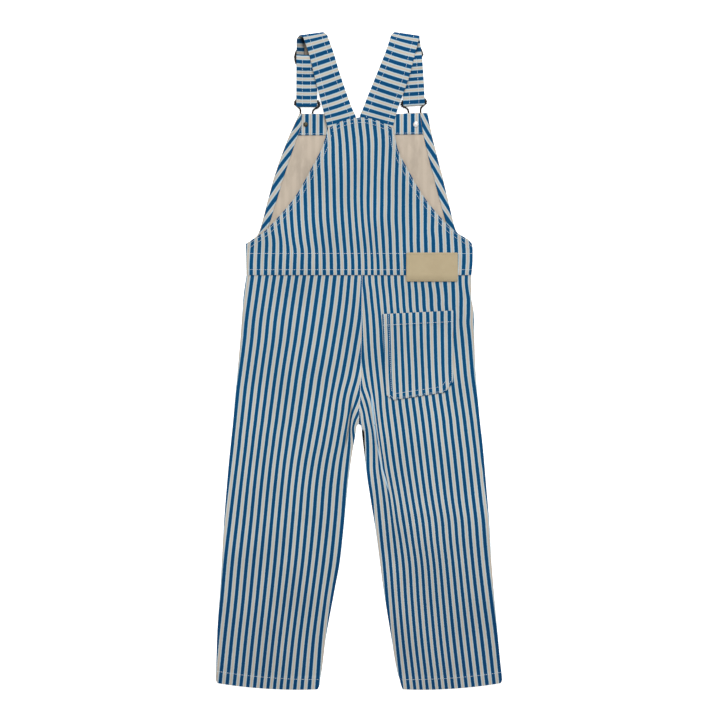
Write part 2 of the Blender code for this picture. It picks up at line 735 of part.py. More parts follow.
def add_slides():
    """A wire frame on the surface, and a bar that rises from its sides between two knobs."""
    for side in ("left", "right"):
        foot, up, across = drop_axes(side)
        middle = foot + up * SLIDE_UP
        frame = [(*(middle + across * a + up * b), SLIDE_WIRE) for a, b in rounded_frame()]
        slide = mesh_object(f"slide_{side}", *tube_mesh(frame, SLIDE_WIRE, True), "aged_brass")
        corner = (SLIDE_BEND - SLIDE_HALF_WIDTH, SLIDE_BAR_HEIGHT - SLIDE_BEND)
        rising = [(-SLIDE_HALF_WIDTH, SLIDE_WIRE)] + arc(corner, SLIDE_BEND, 180, 90, 4)
        profile = rising + [(-a, z) for a, z in reversed(rising)]
        bar = [(*(middle + across * a), z) for a, z in profile]
        crank = mesh_object(f"slide_bar_{side}", *tube_mesh(bar, SLIDE_WIRE, False), "aged_brass")
        add_union(slide, crank)
        for hand in (-1, 1):
            knob = middle + across * hand * (SLIDE_HALF_WIDTH + SLIDE_KNOB_OUT)
            bpy.ops.mesh.primitive_uv_sphere_add(
                segments=10,
                ring_count=6,
                radius=SLIDE_KNOB * MM,
                location=(knob[0] * MM, knob[1] * MM, SLIDE_KNOB_HEIGHT * MM),
            )
            bpy.context.object.name = f"slide_knob_{side}_{hand + 1}"
            add_union(slide, bpy.context.object)


def add_union(whole, piece):
    piece.hide_render = True
    piece.display_type = "WIRE"
    union = whole.modifiers.new(piece.name, "BOOLEAN")
    union.operation = "UNION"
    union.object = piece


def add_clips():
    """One closed wire each, in the plane between the button's cap and the bib."""
    half = arc((0, 0), CLIP_LOOP, -67.5, 0, 3) + [(p.across, p.up) for p in CLIP_SIDE]
    outline = [(0, -CLIP_LOOP)] + half + [(0, CLIP_SIDE[-1].up)]
    outline += [(-a, b) for a, b in reversed(half)]
    for side, lean in CLIP_LEANS.items():
        turn = math.radians(lean)
        up = np.array((-math.sin(turn), math.cos(turn)))
        across = np.array((up[1], -up[0]))
        middle = np.array(BUTTON_CENTRES[side])
        path = [(*(middle + across * a + up * b), CLIP_HEIGHT) for a, b in outline]
        mesh_object(f"clip_{side}", *tube_mesh(path, CLIP_WIRE, True), "aged_brass")


def add_buttons():
    """A turned button: its half profile goes round the axis in even steps."""
    profile = BUTTON_PROFILE[1:-1]
    for side, finish in (("left", "aged_brass"), ("right", "silver")):
        x, y = BUTTON_CENTRES[side]
        points = [(x, y, BUTTON_PROFILE[0][1]), (x, y, BUTTON_PROFILE[-1][1])]
        for step in range(BUTTON_SIDES):
            angle = math.tau * step / BUTTON_SIDES
            points += [(x + r * math.cos(angle), y + r * math.sin(angle), z) for r, z in profile]
        faces = []
        count = len(profile)
        for i in range(BUTTON_SIDES):
            a, b = 2 + i * count, 2 + (i + 1) % BUTTON_SIDES * count
            faces.append((0, b, a))
            faces.append((1, a + count - 1, b + count - 1))
            for j in range(count - 1):
                faces.append((a + j, b + j, b + j + 1, a + j + 1))
        mesh_object(f"button_{side}", points, faces, finish)


def clear_scene():
    for thing in list(bpy.data.objects):
        bpy.data.objects.remove(thing, do_unlink=True)


def main():
    clear_scene()
    add_legs()
    add_bibs()
    add_pocket()
    add_patch()
    add_straps()
    add_slides()
    add_clips()
    add_buttons()


main()
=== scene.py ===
"""Dresses striped children's dungarees that lie on their front: cloth, sewing and metal.

Lengths are in millimetres until a mesh is made. +Y runs from the hems to the shoulders, +X
is the wearer's right and +Z points up, out of the back.
"""

import math
from collections import namedtuple

import bpy
import numpy as np
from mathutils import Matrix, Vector
from mathutils.bvhtree import BVHTree


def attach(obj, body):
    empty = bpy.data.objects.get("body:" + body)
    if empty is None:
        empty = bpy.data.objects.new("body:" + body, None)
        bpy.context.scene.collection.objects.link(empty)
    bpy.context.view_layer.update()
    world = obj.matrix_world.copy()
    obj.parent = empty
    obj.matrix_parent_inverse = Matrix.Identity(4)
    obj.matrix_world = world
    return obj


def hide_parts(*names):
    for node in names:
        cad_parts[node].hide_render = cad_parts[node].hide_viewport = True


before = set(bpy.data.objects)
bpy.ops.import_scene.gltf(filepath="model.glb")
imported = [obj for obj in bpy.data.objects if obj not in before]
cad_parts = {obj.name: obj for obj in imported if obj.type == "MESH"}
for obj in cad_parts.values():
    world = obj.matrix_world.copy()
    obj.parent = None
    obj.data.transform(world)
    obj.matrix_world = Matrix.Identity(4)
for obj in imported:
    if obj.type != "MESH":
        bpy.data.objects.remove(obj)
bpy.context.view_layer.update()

bl_info = {
    "name": "Striped dungarees",
    "version": (1, 0, 0),
    "blender": (4, 5, 0),
    "location": "3D View > Sidebar > Dungarees",
    "description": "Children's striped dungarees laid flat, with their sewing and metal parts",
    "category": "Object",
}

MM = 0.001

# Cloth and the space between pieces
CLOTH = 1.2
FACING_CLOTH = 1.0
STRAP_CLOTH = 1.4
PATCH_LEATHER = 1.0
GAP = 0.3
LEG_DEPTH = 3.6
HEM_DEPTH = 4.7
HEM_CLOTH = 2.0
BIB_DEPTH = 5.1
EDGE_STEPS = 6

# The waist seam, where the bib's lower edges meet the legs
WAIST_Y = 112.4
LEG_TOP_Y = WAIST_Y - GAP
TONGUE_TOP_Y = 118.5
TONGUE_INSET = 3.5
WAIST_STEP = 0.6
WAIST_FALL = 0.8

# The top of the bib is lifted by the buttons, clips and straps under it
RISE_FROM_Y = 205.0
RISE_TO_Y = 288.0
FRONT_RISE = 4.6
BACK_RISE = 5.2

# The back legs stand up a little between their seams
PUFF = 1.2
PUFF_FADE = 25.0
PUFF_TOP_Y, PUFF_RISE = 95.0, 45.0
FOLD_FADE = 6.0

# Spacing of the cloth's points, where it shows and where it doesn't
FINE_CLOTH = 1.6
PLAIN_CLOTH = 4.0
SEAM_CLOTH = 0.9
SEAM_REACH = 24.0

LegSection = namedtuple(
    "LegSection",
    "side_y left_side right_side inner_y left_inner right_inner sag inseam cloth depth",
    defaults=(0, 0, CLOTH, LEG_DEPTH),
)
LEG_SECTIONS = [
    LegSection(LEG_TOP_Y, -147.0, 145.7, LEG_TOP_Y, 3.4, 3.7),
    LegSection(86, -150.8, 145.4, 85, 2.9, 3.2),
    LegSection(60, -152.8, 149.2, 57, 2.5, 2.8),
    LegSection(31, -154.8, 149.6, 26, 2.2, 2.5),
    LegSection(1, -157.5, 150.4, -5, 1.7, 2.0),
    LegSection(-27, -160.1, 152.2, -35, 1.0, 1.3),
    LegSection(-53, -162.5, 154.5, -57, 0.1, 0.4),
    LegSection(-72, -164.0, 156.2, -73, -0.8, -0.5),
    LegSection(-83.8, -165.1, 157.5, -81.4, -1.4, -1.1),
    LegSection(-85.8, -165.3, 157.7, -83.2, -3.6, 2.3, 0, 0.3),
    LegSection(-97, -166.5, 159.1, -94, -5.1, 3.3, 0, 1),
    LegSection(-122, -169.1, 161.6, -121, -9.8, 6.4, 0, 1),
    LegSection(-155, -172.1, 164.4, -156, -14.5, 10.8, 0, 1),
    LegSection(-220, -177.0, 169.6, -225, -21.5, 21.8, 0, 1),
    LegSection(-257, -178.9, 171.5, -262, -25.7, 26.7, 0.5, 1),
    LegSection(-287, -180.7, 173.8, -292, -31.3, 30.6, 1.0, 1),
    LegSection(-352, -185.0, 179.6, -359, -43.6, 41.4, 2.0, 1),
    LegSection(-402, -186.8, 184.5, -409, -50.3, 50.6, 3.2, 1),
    LegSection(-404, -187.0, 184.8, -411, -50.8, 51.5, 3.2, 1, HEM_CLOTH, HEM_DEPTH),
    LegSection(-414, -186.7, 185.6, -421, -52.0, 54.0, 3.4, 1, HEM_CLOTH, HEM_DEPTH),
    LegSection(-418.3, -184.8, 183.8, -426.3, -54.4, 56.2, 3.2, 1, HEM_CLOTH, HEM_DEPTH),
]

# A soft fold along the line through its three places
Fold = namedtuple("Fold", "side x_top y_top x_mid y_mid x_foot y_foot half_width height")
LEG_FOLDS = [
    Fold("right", 5, -31, 22, -77, 38, -213, 8.0, 2.2),
    Fold("left", -9, -31, -11, -66, -13, -103, 6.0, 1.8),
    Fold("right", 134, 79, 137, 50, 139, 21, 7.0, 1.4),
]
BIB_RIDGE = Fold("back", 10, 274, 11, 200, 9, 129, 16.0, 1.0)

# Creases that only dent the face of the cloth
LEG_CREASES = [
    Fold("left", -9, -40, -14.3, -89.7, -18.2, -146, 4.5, -0.7),
    Fold("left", -96, -203, -70, -208, -42, -205, 9.0, -0.5),
    Fold("left", -30, 20, -34, -60, -44, -140, 10.0, 0.5),
    Fold("right", 13, -37.7, 17, -76.7, 29, -137, 3.0, 0.5),
    Fold("right", 53, -210, 80, -204, 108, -212, 9.0, -0.5),
    Fold("right", 34, -240, 46, -262, 62, -279, 9.0, -0.5),
    Fold("right", 105, 92, 124, 72, 141, 53, 7.0, -0.6),
]

# Painted shade along the creases and the crotch seam (darker lines) and painted highlights along
# the right leg's crease ridge (paler lines), put into the colour of the cloth
LEG_PAINTED_LIGHT = [
    Fold("left", -8.8, -46, -13.4, -84, -20.5, -118, 2.8, -0.6),
    Fold("left", -8, -66, -7.5, -92, -10.5, -120, 2.6, -0.2),
    Fold("right", 0.2, -64, 0.0, -73, -0.6, -84, 1.6, -0.75),
    Fold("right", 14.2, -34.5, 18.6, -74.6, 22.9, -114, 1.6, 0.5),
    Fold("right", 20.6, -97, 29.0, -138, 40.5, -176, 1.6, 0.5),
]

# Painted shade: a dark wedge below the crotch, where the right leg's inner edge turns under
CROTCH_Y = -84.0
WEDGE_TOP_Y, WEDGE_FOOT_Y, WEDGE_FADE = -86.0, -140.0, 50.0
WEDGE_WIDTH, WEDGE_SHADE = 3.1, 0.95

# Slow waves in the face of the cloth: direction in degrees, length, height and start
Wave = namedtuple("Wave", "turn length height start")
LEG_WAVES = [
    Wave(80, 118, 0.20, 0.4),
    Wave(98, 71, 0.13, 2.1),
    Wave(35, 93, 0.12, 1.0),
    Wave(150, 57, 0.09, 4.2),
]
BIB_WAVES = [Wave(12, 66, 0.16, 0.9), Wave(75, 84, 0.12, 3.0), Wave(130, 51, 0.08, 5.0)]
WAVE_FADE = 18.0
LEG_WAVES_TOP_Y, BIB_WAVES_FOOT_Y = 100.0, 120.0

BibSection = namedtuple("BibSection", "left_y left_x right_y right_x arch seam", defaults=(0, 0))
BACK_BIB_SECTIONS = [
    BibSection(302.2, -40.8, 301.4, 44.5, 15.0),
    BibSection(280, -47.7, 278, 49.1, 9.0),
    BibSection(250, -63.1, 249, 63.1, 4.0),
    BibSection(213, -84.5, 212, 85.2),
    BibSection(183, -110.0, 181, 111.3),
    BibSection(171.5, -121.0, 170, 123.0),
    BibSection(164, -130.6, 164, 132.5),
    BibSection(158, -139.9, 158, 141.8),
    BibSection(152, -147.9, 151.7, 146.6, 0, 0.4),
    BibSection(144, -147.8, 144, 147.4, 0, 1),
    BibSection(131, -147.6, 131, 147.3, 0, 1),
    BibSection(WAIST_Y, -147.1, WAIST_Y, 145.7, 0, 1),
]
ARMHOLE_ROWS = 9
FRONT_BIB_SECTIONS = [
    BibSection(322.2, -78.3, 323.2, 88.7, -7.4),
    BibSection(300, -88.6, 300, 93.0, -2.0),
    BibSection(271, -100.4, 270, 100.4),
    BibSection(235, -112.5, 234, 109.7),
    BibSection(201, -121.7, 200, 117.8),
    BibSection(173, -129.3, 170.5, 125.7),
    BibSection(164, -133.2, 162, 133.2),
    BibSection(158, -140.7, 157.5, 141.8),
    BibSection(152, -147.8, 152, 146.4, 0, 0.4),
    BibSection(144, -147.8, 144, 147.4, 0, 1),
    BibSection(131, -147.6, 131, 147.3, 0, 1),
    BibSection(WAIST_Y, -147.1, WAIST_Y, 145.7, 0, 1),
]
NECK_POWER = 5

LEFT_FACING_SECTIONS = [
    BibSection(321.6, -77.6, 321.6, -74.7),
    BibSection(307, -84.4, 306.5, -76.0),
    BibSection(299, -88.2, 298.5, -78.3),
    BibSection(271, -99.6, 269, -88.7),
    BibSection(235, -111.7, 233, -100.6),
    BibSection(201, -121.0, 199, -111.0),
    BibSection(173, -128.2, 173, -119.4),
    BibSection(165, -131.2, 166, -122.8),
]
RIGHT_FACING_SECTIONS = [
    BibSection(322.7, 79.0, 323.1, 88.3),
    BibSection(299, 82.3, 300, 92.3),
    BibSection(269, 88.8, 270, 99.6),
    BibSection(233, 98.3, 234, 108.9),
    BibSection(199, 107.4, 200, 117.4),
    BibSection(172, 115.7, 171, 125.0),
    BibSection(164, 119.5, 165, 129.9),
]
TOP_FACING_SECTIONS = [
    BibSection(321.7, -74.2, 322.5, 78.5, -7.2),
    BibSection(306.5, -75.5, 306.5, 80.7),
    BibSection(298.5, -77.8, 298.5, 81.9),
    BibSection(293.9, -79.8, 295.2, 82.5, -1.2),
]

# Shade on the top facing beside the left strap
FACING_SHADE, FACING_SHADE_REACH = 0.55, 5.0

POCKET_SECTIONS = [
    BibSection(61.6, 29.6, 66.3, 121.8),
    BibSection(45.5, 30.3, 51.5, 121.8),
    BibSection(44.5, 30.4, 50.5, 121.8),
    BibSection(14, 31.5, 21, 121.8),
    BibSection(-15, 32.5, -8, 121.8),
    BibSection(-40.8, 33.6, -25.1, 121.7),
    BibSection(-50.2, 43.8, -40.0, 111.5),
]
POCKET_HEM_DROP = 16.0
POCKET_HEM_CLOTH = 1.9
POCKET_HEM_ROW = 14.4
PATCH_LEFT, PATCH_RIGHT = 60.9, 127.8
PATCH_FOOT, PATCH_TOP = 104.1, 141.6
PATCH_CORNER = 1.6
PATCH_POINTS = (50, 30)
PATCH_ROW = 2.0
PATCH_DROP = 1.3
PATCH_FALL = 9.0

StrapSection = namedtuple("StrapSection", "left_x left_y right_x right_y height")
STRAP_LOW, STRAP_HIGH = 8.1, 10.0
STRAP_BACKS = {
    "left": [
        StrapSection(-37.7, 290, -9.8, 299, STRAP_LOW),
        StrapSection(-41.3, 304.2, -4.6, 316.0, STRAP_LOW),
        StrapSection(-46.6, 324, -10.0, 330, STRAP_LOW),
        StrapSection(-59.4, 374, -25.7, 375, 9.6),
        StrapSection(-65.3, 398, -33.2, 400, STRAP_HIGH),
        StrapSection(-72.9, 420.4, -41.9, 424.4, STRAP_HIGH),
    ],
    "right": [
        StrapSection(5.2, 299, 40.3, 290, STRAP_LOW),
        StrapSection(0.3, 316.0, 43.4, 304.5, STRAP_LOW),
        StrapSection(5.4, 331, 48.8, 325, STRAP_LOW),
        StrapSection(22.9, 375, 64.9, 371, 9.6),
        StrapSection(32.2, 398, 70.2, 392, STRAP_HIGH),
        StrapSection(36.9, 411, 73.9, 406, STRAP_HIGH),
        StrapSection(40.7, 423.6, 77.0, 418.6, STRAP_HIGH),
    ],
}
FOLD_TURNS = 1.1

# Shade on the straps' front parts: beside the back part, in the shoulder loop and in a spot
BACK_SHADES = {"left": (0.5, 7.0), "right": (0.25, 3.0)}
LOOP_FOOT_Y = 388.0
LOOP_SHADES = {"left": 0.45, "right": 0.2}
LOOP_SPOTS = {"left": (-68.6, 396.0), "right": (69.0, 386.5)}
LOOP_FADE = 8.0
LOOP_SPOT_SHADE, LOOP_SPOT_REACH = 0.6, 2.6
DARKEST_LOOP = 0.08

# Painted shade inside the left strap's loop: there its inner face takes the wrong-side cloth,
# darkened, and darkest along the loop's edge
LOOP_INSIDE_X, LOOP_INSIDE_FOOT_Y = -72.3, 399.0
LOOP_INSIDE_SHADE = 0.46
LOOP_INSIDE_EDGE_SHADE, LOOP_INSIDE_EDGE_REACH = 0.7, 0.9

STRAP_GRID = 2.2
STRAP_COLUMNS = 20
STRAP_EDGE = 0.9
FOLD_STEPS = 14
FOLD_HEIGHT = 2.8

Drop = namedtuple("Drop", "foot_x foot_y lean top_left_x top_left_y top_right_x top_right_y")
DROPS = {
    "left": Drop(-68.7, 330.4, -0.3, -81.8, 419.4, -53.4, 423.4),
    "right": Drop(70.9, 331.9, 4.0, 49.4, 424.6, 78.2, 420.0),
}
DROP_BOWS = {"left": 0.0, "right": 1.0}
STRAP_HALF_WIDTHS = {"left": 13.6, "right": 14.1}
FOOT_NARROWING = 1.3
FOOT_TAPER = 3.0
BAR_TURN = 2.0
MAIN_HEIGHTS = [(2.7, 1.3), (12, 1.3), (20, 0.7), (43, 0.7), (52, 2.8), (90, 2.8)]
RETURN_HEIGHTS = [(2.7, 5.3), (38, 5.3), (58, 8.3), (65, 8.3)]
MAIN_TOP, MAIN_FOOT = 82, 5
RETURN_FOOT, RETURN_TOP = 5, 60
TAIL_TOP, TAIL_FOOT = 60, 53
TAIL_HEIGHT = 4.5

SLIDE_UPS = {"left": 65.3, "right": 66.3}
SLIDE_WIRE = 1.45
SLIDE_HALF_WIDTH = 15.0
SLIDE_HALF_LENGTH = 9.0
SLIDE_CORNER = 1.8
SLIDE_BOW = 1.8
# How far the lower half of a slide draws in under its strap
SLIDE_TUCKS = {"left": 0.0, "right": 1.6}
SLIDE_BEND = 1.2
SLIDE_BAR_HEIGHT = 6.4
SLIDE_TURN = 1.9
SLIDE_KNOB = 1.5
SLIDE_KNOB_OUT = 0.7
SLIDE_KNOB_HEIGHT = 4.4

CLIP_HEIGHT = 3.3
CLIP_LOOP = 3.7
ClipPoint = namedtuple("ClipPoint", "across up")
CLIP_SIDE = [
    ClipPoint(4.1, 4.5),
    ClipPoint(6.0, 9.5),
    ClipPoint(7.7, 14.0),
    ClipPoint(7.9, 17.2),
    ClipPoint(9.1, 20.2),
    ClipPoint(12.3, 22.7),
    ClipPoint(14.8, 24.7),
    ClipPoint(15.7, 26.8),
    ClipPoint(15.0, 29.3),
    ClipPoint(13.3, 31.1),
    ClipPoint(11.2, 31.6),
    ClipPoint(5.6, 31.6),
]
OUTER_SHOULDER, INNER_SHOULDER = CLIP_SIDE[6:10], CLIP_SIDE[5:11]
COLLAR_WIRE = 0.65
COLLAR_TURNS = 6
COLLAR_STAND = 0.6
CLIP_LEANS = {"left": -4.2, "right": 5.5}
CLIP_STRETCHES = {"left": 0.0, "right": 1.3}
BUTTON_CENTRES = {"left": (-70.0, 308.0), "right": (73.3, 308.0)}
BUTTON_SIDES = 48
RIVET_FROM = 7.0
RIVET_SHARES = {"left": 0.87, "right": 1.0}
BUTTON_NECK = 2.2
BUTTON_PROFILE = [
    (0.0, 0.25),
    (5.6, 0.25),
    (6.3, 0.0),
    (7.0, 0.1),
    (7.7, 0.55),
    (8.0, 1.2),
    (7.6, 2.0),
    (BUTTON_NECK, 2.0),
    (BUTTON_NECK, 7.4),
    (3.2, 7.4),
    (3.5, 7.7),
    (3.4, 8.1),
    (2.8, 8.35),
    (2.3, 7.9),
    (1.9, 7.9),
    (1.5, 8.7),
    (0.8, 8.88),
    (0.0, 8.9),
]

# Where the numbered blue stripes run: their places across at each height
Grain = namedtuple("Grain", "stripes rows")
LEFT_LEG_GRAIN = Grain(
    (0, 4, 8, 12, 15, 16, 17, 18, 19),
    [
        (101.4, -140.6, -102.5, -63.3, -23.1, 3.6, 12.3, 20.8, 29.2, 37.7),
        (79.3, -143.6, -105.9, -66.5, -25.4, 2.1, 11.1, 20.0, 29.0, 38.0),
        (53.3, -147.1, -109.6, -70.1, -29.0, -0.6, 9.1, 18.2, 27.3, 36.4),
        (27.3, -149.6, -112.3, -74.0, -33.2, -4.6, 4.8, 14.3, 23.4, 32.5),
        (1.3, -152.9, -116.0, -78.4, -37.6, -8.9, 0.0, 9.3, 18.2, 26.9),
        (-24.7, -156.4, -119.6, -82.5, -42.4, -14.1, -4.9, 3.5, 13.0, 22.1),
        (-35.1, -157.8, -121.0, -83.9, -43.9, -17.0, -7.9, 1.1, 10.1, 18.7),
        (-45.5, -158.9, -122.3, -85.3, -45.5, -19.4, -10.6, -1.9, 6.7, 15.7),
        (-55.9, -159.9, -123.6, -86.8, -47.2, -21.1, -12.2, -5.7, 3.4, 12.2),
        (-66.3, -161.0, -125.0, -88.2, -49.0, -22.3, -13.4, -10.0, -1.2, 7.8),
        (-76.7, -162.1, -126.2, -89.6, -50.7, -23.8, -15.3, -11.8, -6.5, 2.6),
        (-87.1, -163.2, -127.6, -91.3, -52.5, -25.5, -17.2, -12.3, -9.1, -0.7),
        (-97.5, -164.3, -129.0, -92.9, -54.5, -27.2, -19.2, -12.7, -7.9, 0.7),
        (-107.9, -165.3, -130.2, -94.3, -56.4, -29.0, -20.7, -13.4, -6.1, 2.6),
        (-128.7, -167.7, -132.8, -97.2, -60.4, -33.0, -24.2, -15.4, -7.0, 1.4),
        (-154.7, -170.9, -135.8, -100.1, -64.3, -36.6, -27.2, -18.2, -9.1, -0.1),
        (-206.7, -177.5, -140.9, -105.2, -68.9, -40.9, -31.7, -22.3, -12.7, -3.4),
        (-258.7, -183.8, -146.5, -109.8, -73.8, -46.7, -37.0, -27.8, -18.2, -8.8),
        (-310.7, -188.5, -151.4, -115.2, -80.3, -53.5, -44.6, -36.2, -27.0, -18.2),
        (-362.7, -194.1, -157.1, -121.1, -86.8, -60.1, -50.8, -41.7, -32.6, -23.5),
        (-409.5, -199.1, -161.7, -126.1, -91.8, -64.1, -54.2, -44.3, -34.9, -25.5),
    ],
)
RIGHT_LEG_GRAIN = Grain(
    (18, 17, 16, 15, 14, 12, 8, 4, 2, 1, 0, -1),
    [
        (111.0, -18.8, -11.0, -3.2, 4.8, 12.8, 29.7, 63.9, 100.6, 121.6, 130.9, 138.7, 148.3),
        (101.4, -18.2, -10.4, -2.6, 5.4, 13.4, 30.2, 64.3, 100.9, 121.7, 131.0, 138.7, 148.2),
        (92.3, -17.4, -9.6, -1.7, 6.6, 14.7, 31.2, 65.1, 102.3, 122.0, 131.8, 139.8, 149.3),
        (81.9, -16.9, -8.8, -0.6, 7.6, 15.6, 32.3, 65.6, 103.3, 122.3, 132.2, 141.5, 151.0),
        (71.5, -16.0, -7.7, 0.5, 8.5, 16.7, 33.2, 66.2, 103.6, 122.6, 132.0, 141.6, 151.1),
        (61.1, -15.5, -7.2, 1.2, 9.5, 17.9, 34.1, 67.5, 104.8, 123.4, 131.8, 141.5, 151.0),
        (50.7, -15.0, -6.6, 1.8, 10.2, 18.6, 35.1, 68.6, 106.0, 123.4, 131.6, 141.0, 150.5),
        (40.3, -14.5, -6.1, 2.5, 10.8, 19.3, 36.0, 69.7, 106.9, 123.5, 132.5, 142.0, 151.5),
        (27.3, -13.9, -5.2, 3.1, 11.5, 19.8, 36.8, 70.9, 107.8, 124.3, 133.8, 143.3, 152.8),
        (1.3, -10.9, -4.0, 4.9, 13.4, 21.7, 38.9, 73.5, 110.1, 126.7, 136.0, 145.4, 154.9),
        (-24.7, -6.5, 1.3, 8.5, 16.2, 24.4, 41.1, 75.9, 112.3, 129.3, 138.6, 147.9, 157.4),
        (-35.1, -4.4, 3.0, 10.9, 17.4, 25.6, 41.9, 77.0, 113.1, 130.7, 140.1, 149.4, 158.9),
        (-45.5, -0.5, 6.6, 14.3, 18.6, 26.7, 42.8, 78.0, 114.1, 132.2, 141.5, 150.9, 160.4),
        (-55.9, 2.7, 9.9, 16.9, 19.9, 27.2, 43.8, 79.3, 115.6, 133.6, 143.0, 152.2, 161.7),
        (-66.3, 5.6, 12.2, 18.2, 21.1, 28.1, 45.0, 80.9, 117.1, 135.1, 144.5, 153.4, 162.9),
        (-76.7, 7.2, 14.4, 19.5, 22.5, 29.2, 46.4, 82.2, 118.5, 136.5, 145.9, 154.7, 164.2),
        (-89.7, 9.4, 17.0, 21.2, 24.2, 30.9, 48.1, 83.8, 119.7, 138.1, 147.5, 156.0, 165.5),
        (-102.7, 10.4, 18.6, 23.0, 26.1, 32.8, 49.7, 85.3, 121.2, 139.7, 149.1, 157.4, 166.9),
        (-115.7, 10.8, 19.1, 24.7, 28.1, 34.3, 51.4, 86.8, 122.8, 141.3, 150.7, 158.7, 168.2),
        (-128.7, 10.9, 19.2, 25.6, 30.2, 36.0, 53.1, 88.3, 124.2, 142.7, 152.1, 160.1, 169.6),
        (-141.7, 11.3, 19.5, 26.9, 31.9, 38.0, 54.9, 89.8, 125.6, 144.0, 153.5, 162.2, 171.7),
        (-154.7, 12.7, 20.9, 29.1, 34.8, 40.3, 57.0, 91.3, 127.0, 145.5, 155.0, 163.5, 173.0),
        (-180.7, 16.4, 23.7, 32.5, 39.2, 45.1, 61.1, 94.9, 129.7, 148.3, 157.8, 167.1, 176.6),
        (-206.7, 17.7, 26.3, 35.0, 42.5, 48.7, 65.5, 99.0, 133.3, 151.4, 160.9, 170.7, 180.2),
        (-232.7, 20.5, 28.7, 37.4, 45.4, 53.2, 69.1, 101.3, 135.3, 153.5, 162.9, 172.6, 182.1),
        (-258.7, 23.4, 31.6, 39.9, 48.2, 56.6, 72.8, 104.3, 137.9, 155.8, 165.4, 174.6, 184.1),
        (-310.7, 27.3, 36.1, 43.9, 52.0, 60.2, 76.5, 109.0, 143.5, 161.9, 171.5, 181.0, 190.5),
        (-362.7, 32.0, 40.3, 48.5, 56.6, 64.7, 81.0, 114.0, 149.6, 168.7, 178.1, 188.0, 197.5),
        (-409.5, 36.3, 44.7, 53.4, 62.0, 70.1, 86.3, 119.5, 155.1, 174.0, 182.9, 193.3, 202.8),
    ],
)
# The right leg's stripe 6 lies halfway between stripes 8 and 4, and further left higher up
HALFWAY_STRIPE, HALFWAY_AFTER = 6, 8
HALFWAY_SHIFT, SHIFT_FROM_Y, SHIFT_TO_Y = -1.0, -45.0, 27.0
BACK_BIB_GRAIN = Grain(
    (0, 4, 6, 10, 14, 16, 17, 18, 20, 24, 26, 30),
    [
        (306.8, -150.0, -111.3, -92.3, -55.4, -18.4, 0.4, 9.8, 19.5, 39.3, 75.5, 94.3, 131.5),
        (287.3, -148.2, -110.2, -90.4, -53.0, -16.4, 2.6, 11.7, 21.3, 40.4, 76.7, 95.3, 132.6),
        (261.3, -145.6, -108.8, -90.7, -53.3, -14.8, 3.4, 11.9, 21.1, 39.5, 76.6, 95.3, 132.6),
        (235.3, -144.3, -108.1, -90.0, -52.2, -14.2, 2.9, 11.8, 20.3, 38.5, 76.3, 95.3, 133.2),
        (209.3, -143.0, -107.3, -89.4, -51.3, -14.1, 2.7, 11.2, 19.9, 38.4, 75.8, 95.4, 133.9),
        (183.3, -141.1, -105.6, -88.3, -50.4, -12.7, 3.9, 12.1, 19.9, 38.2, 76.2, 95.0, 134.4),
        (170.3, -140.1, -104.1, -87.3, -49.1, -11.7, 5.1, 13.4, 20.8, 39.1, 76.3, 94.8, 134.7),
        (157.3, -139.1, -102.3, -85.9, -47.7, -10.8, 6.5, 14.6, 21.7, 39.9, 76.2, 95.9, 134.8),
        (144.3, -139.7, -102.1, -83.8, -46.3, -9.7, 7.7, 15.7, 22.8, 40.3, 76.7, 96.1, 135.7),
        (128.7, -140.6, -102.7, -84.2, -45.8, -8.7, 8.4, 16.4, 24.0, 41.0, 77.4, 96.3, 135.7),
        (117.0, -140.8, -103.2, -84.7, -45.6, -8.6, 8.6, 16.6, 24.4, 41.5, 77.5, 96.4, 135.0),
    ],
)
FRONT_GRAIN = Grain((-14, 0, 14), [(330, -130, 10, 150), (100, -130, 10, 150)])
POCKET_GRAIN = Grain(
    (0, 3, 6, 9),
    [
        (58.5, 37.7, 61.7, 88.6, 116.7),
        (20.8, 38.9, 63.2, 89.5, 117.0),
        (-18.2, 40.0, 65.2, 91.2, 117.9),
        (-35.1, 41.0, 65.8, 92.2, 119.2),
    ],
)
TOP_FACING_GRAIN = Grain(
    (0, 1, 2, 12, 13, 14, 15),
    [
        (330, -68.3, -59.0, -49.9, 49.7, 59.8, 69.0, 79.3),
        (290, -68.3, -59.0, -49.9, 49.7, 59.8, 69.0, 79.3),
    ],
)

# Stripes that cross a strip of cloth: where each one meets its left and its right edge,
# and how far it hangs down between them
Crossing = namedtuple("Crossing", "left right sag")
SIDE_FACING_STRIPES = {
    "left": Crossing(
        [305.7, 273.6, 248.8, 220.6, 191.8, 172.2],
        [318.7, 302.4, 274.9, 250.8, 215.8, 189.3],
        [0, -1.8, -0.5, 0, 0, 0],
    ),
    "right": Crossing(
        [340.0, 312.3, 284.7, 262.7, 224.5, 190.6],
        [312.0, 286.5, 261.1, 226.0, 193.4, 172.3],
        [0] * 6,
    ),
}
STRAP_STRIPES = {
    "left": Crossing(
        [422.9, 415.4, 405.4, 394.8, 384.1, 373.7, 363.9, 354.3, 344.7, 335.2, 325.9, 317.1, 308.6],
        [427.0, 423.0, 414.6, 404.5, 394.3, 384.3, 374.7, 365.5, 355.9, 346.6, 337.4, 327.7, 318.7],
        [0.1, 0.2, 0.2, 0.0, 0.0, 0.0, 0.2, 0.4, 0.4, 0.5, 0.5, 0.5, 0.5],
    ),
    "right": Crossing(
        [426.9, 421.8, 413.1, 402.9, 394.1, 384.3, 375.3, 365.5, 356.7, 347.3, 337.8, 328.8, 319.8],
        [421.4, 412.5, 402.4, 392.0, 382.4, 372.0, 362.6, 352.7, 343.5, 334.3, 325.4, 316.4, 308.3],
        [0.4, 0.6, 0.8, 0.7, 0.6, 0.5, 0.5, 0.5, 0.5, 0.5, 0.3, 0.2, 0.2],
    ),
}
STRAP_PITCH = 10.2
DROP_SAGS = {"left": 0.6, "right": 0.1}

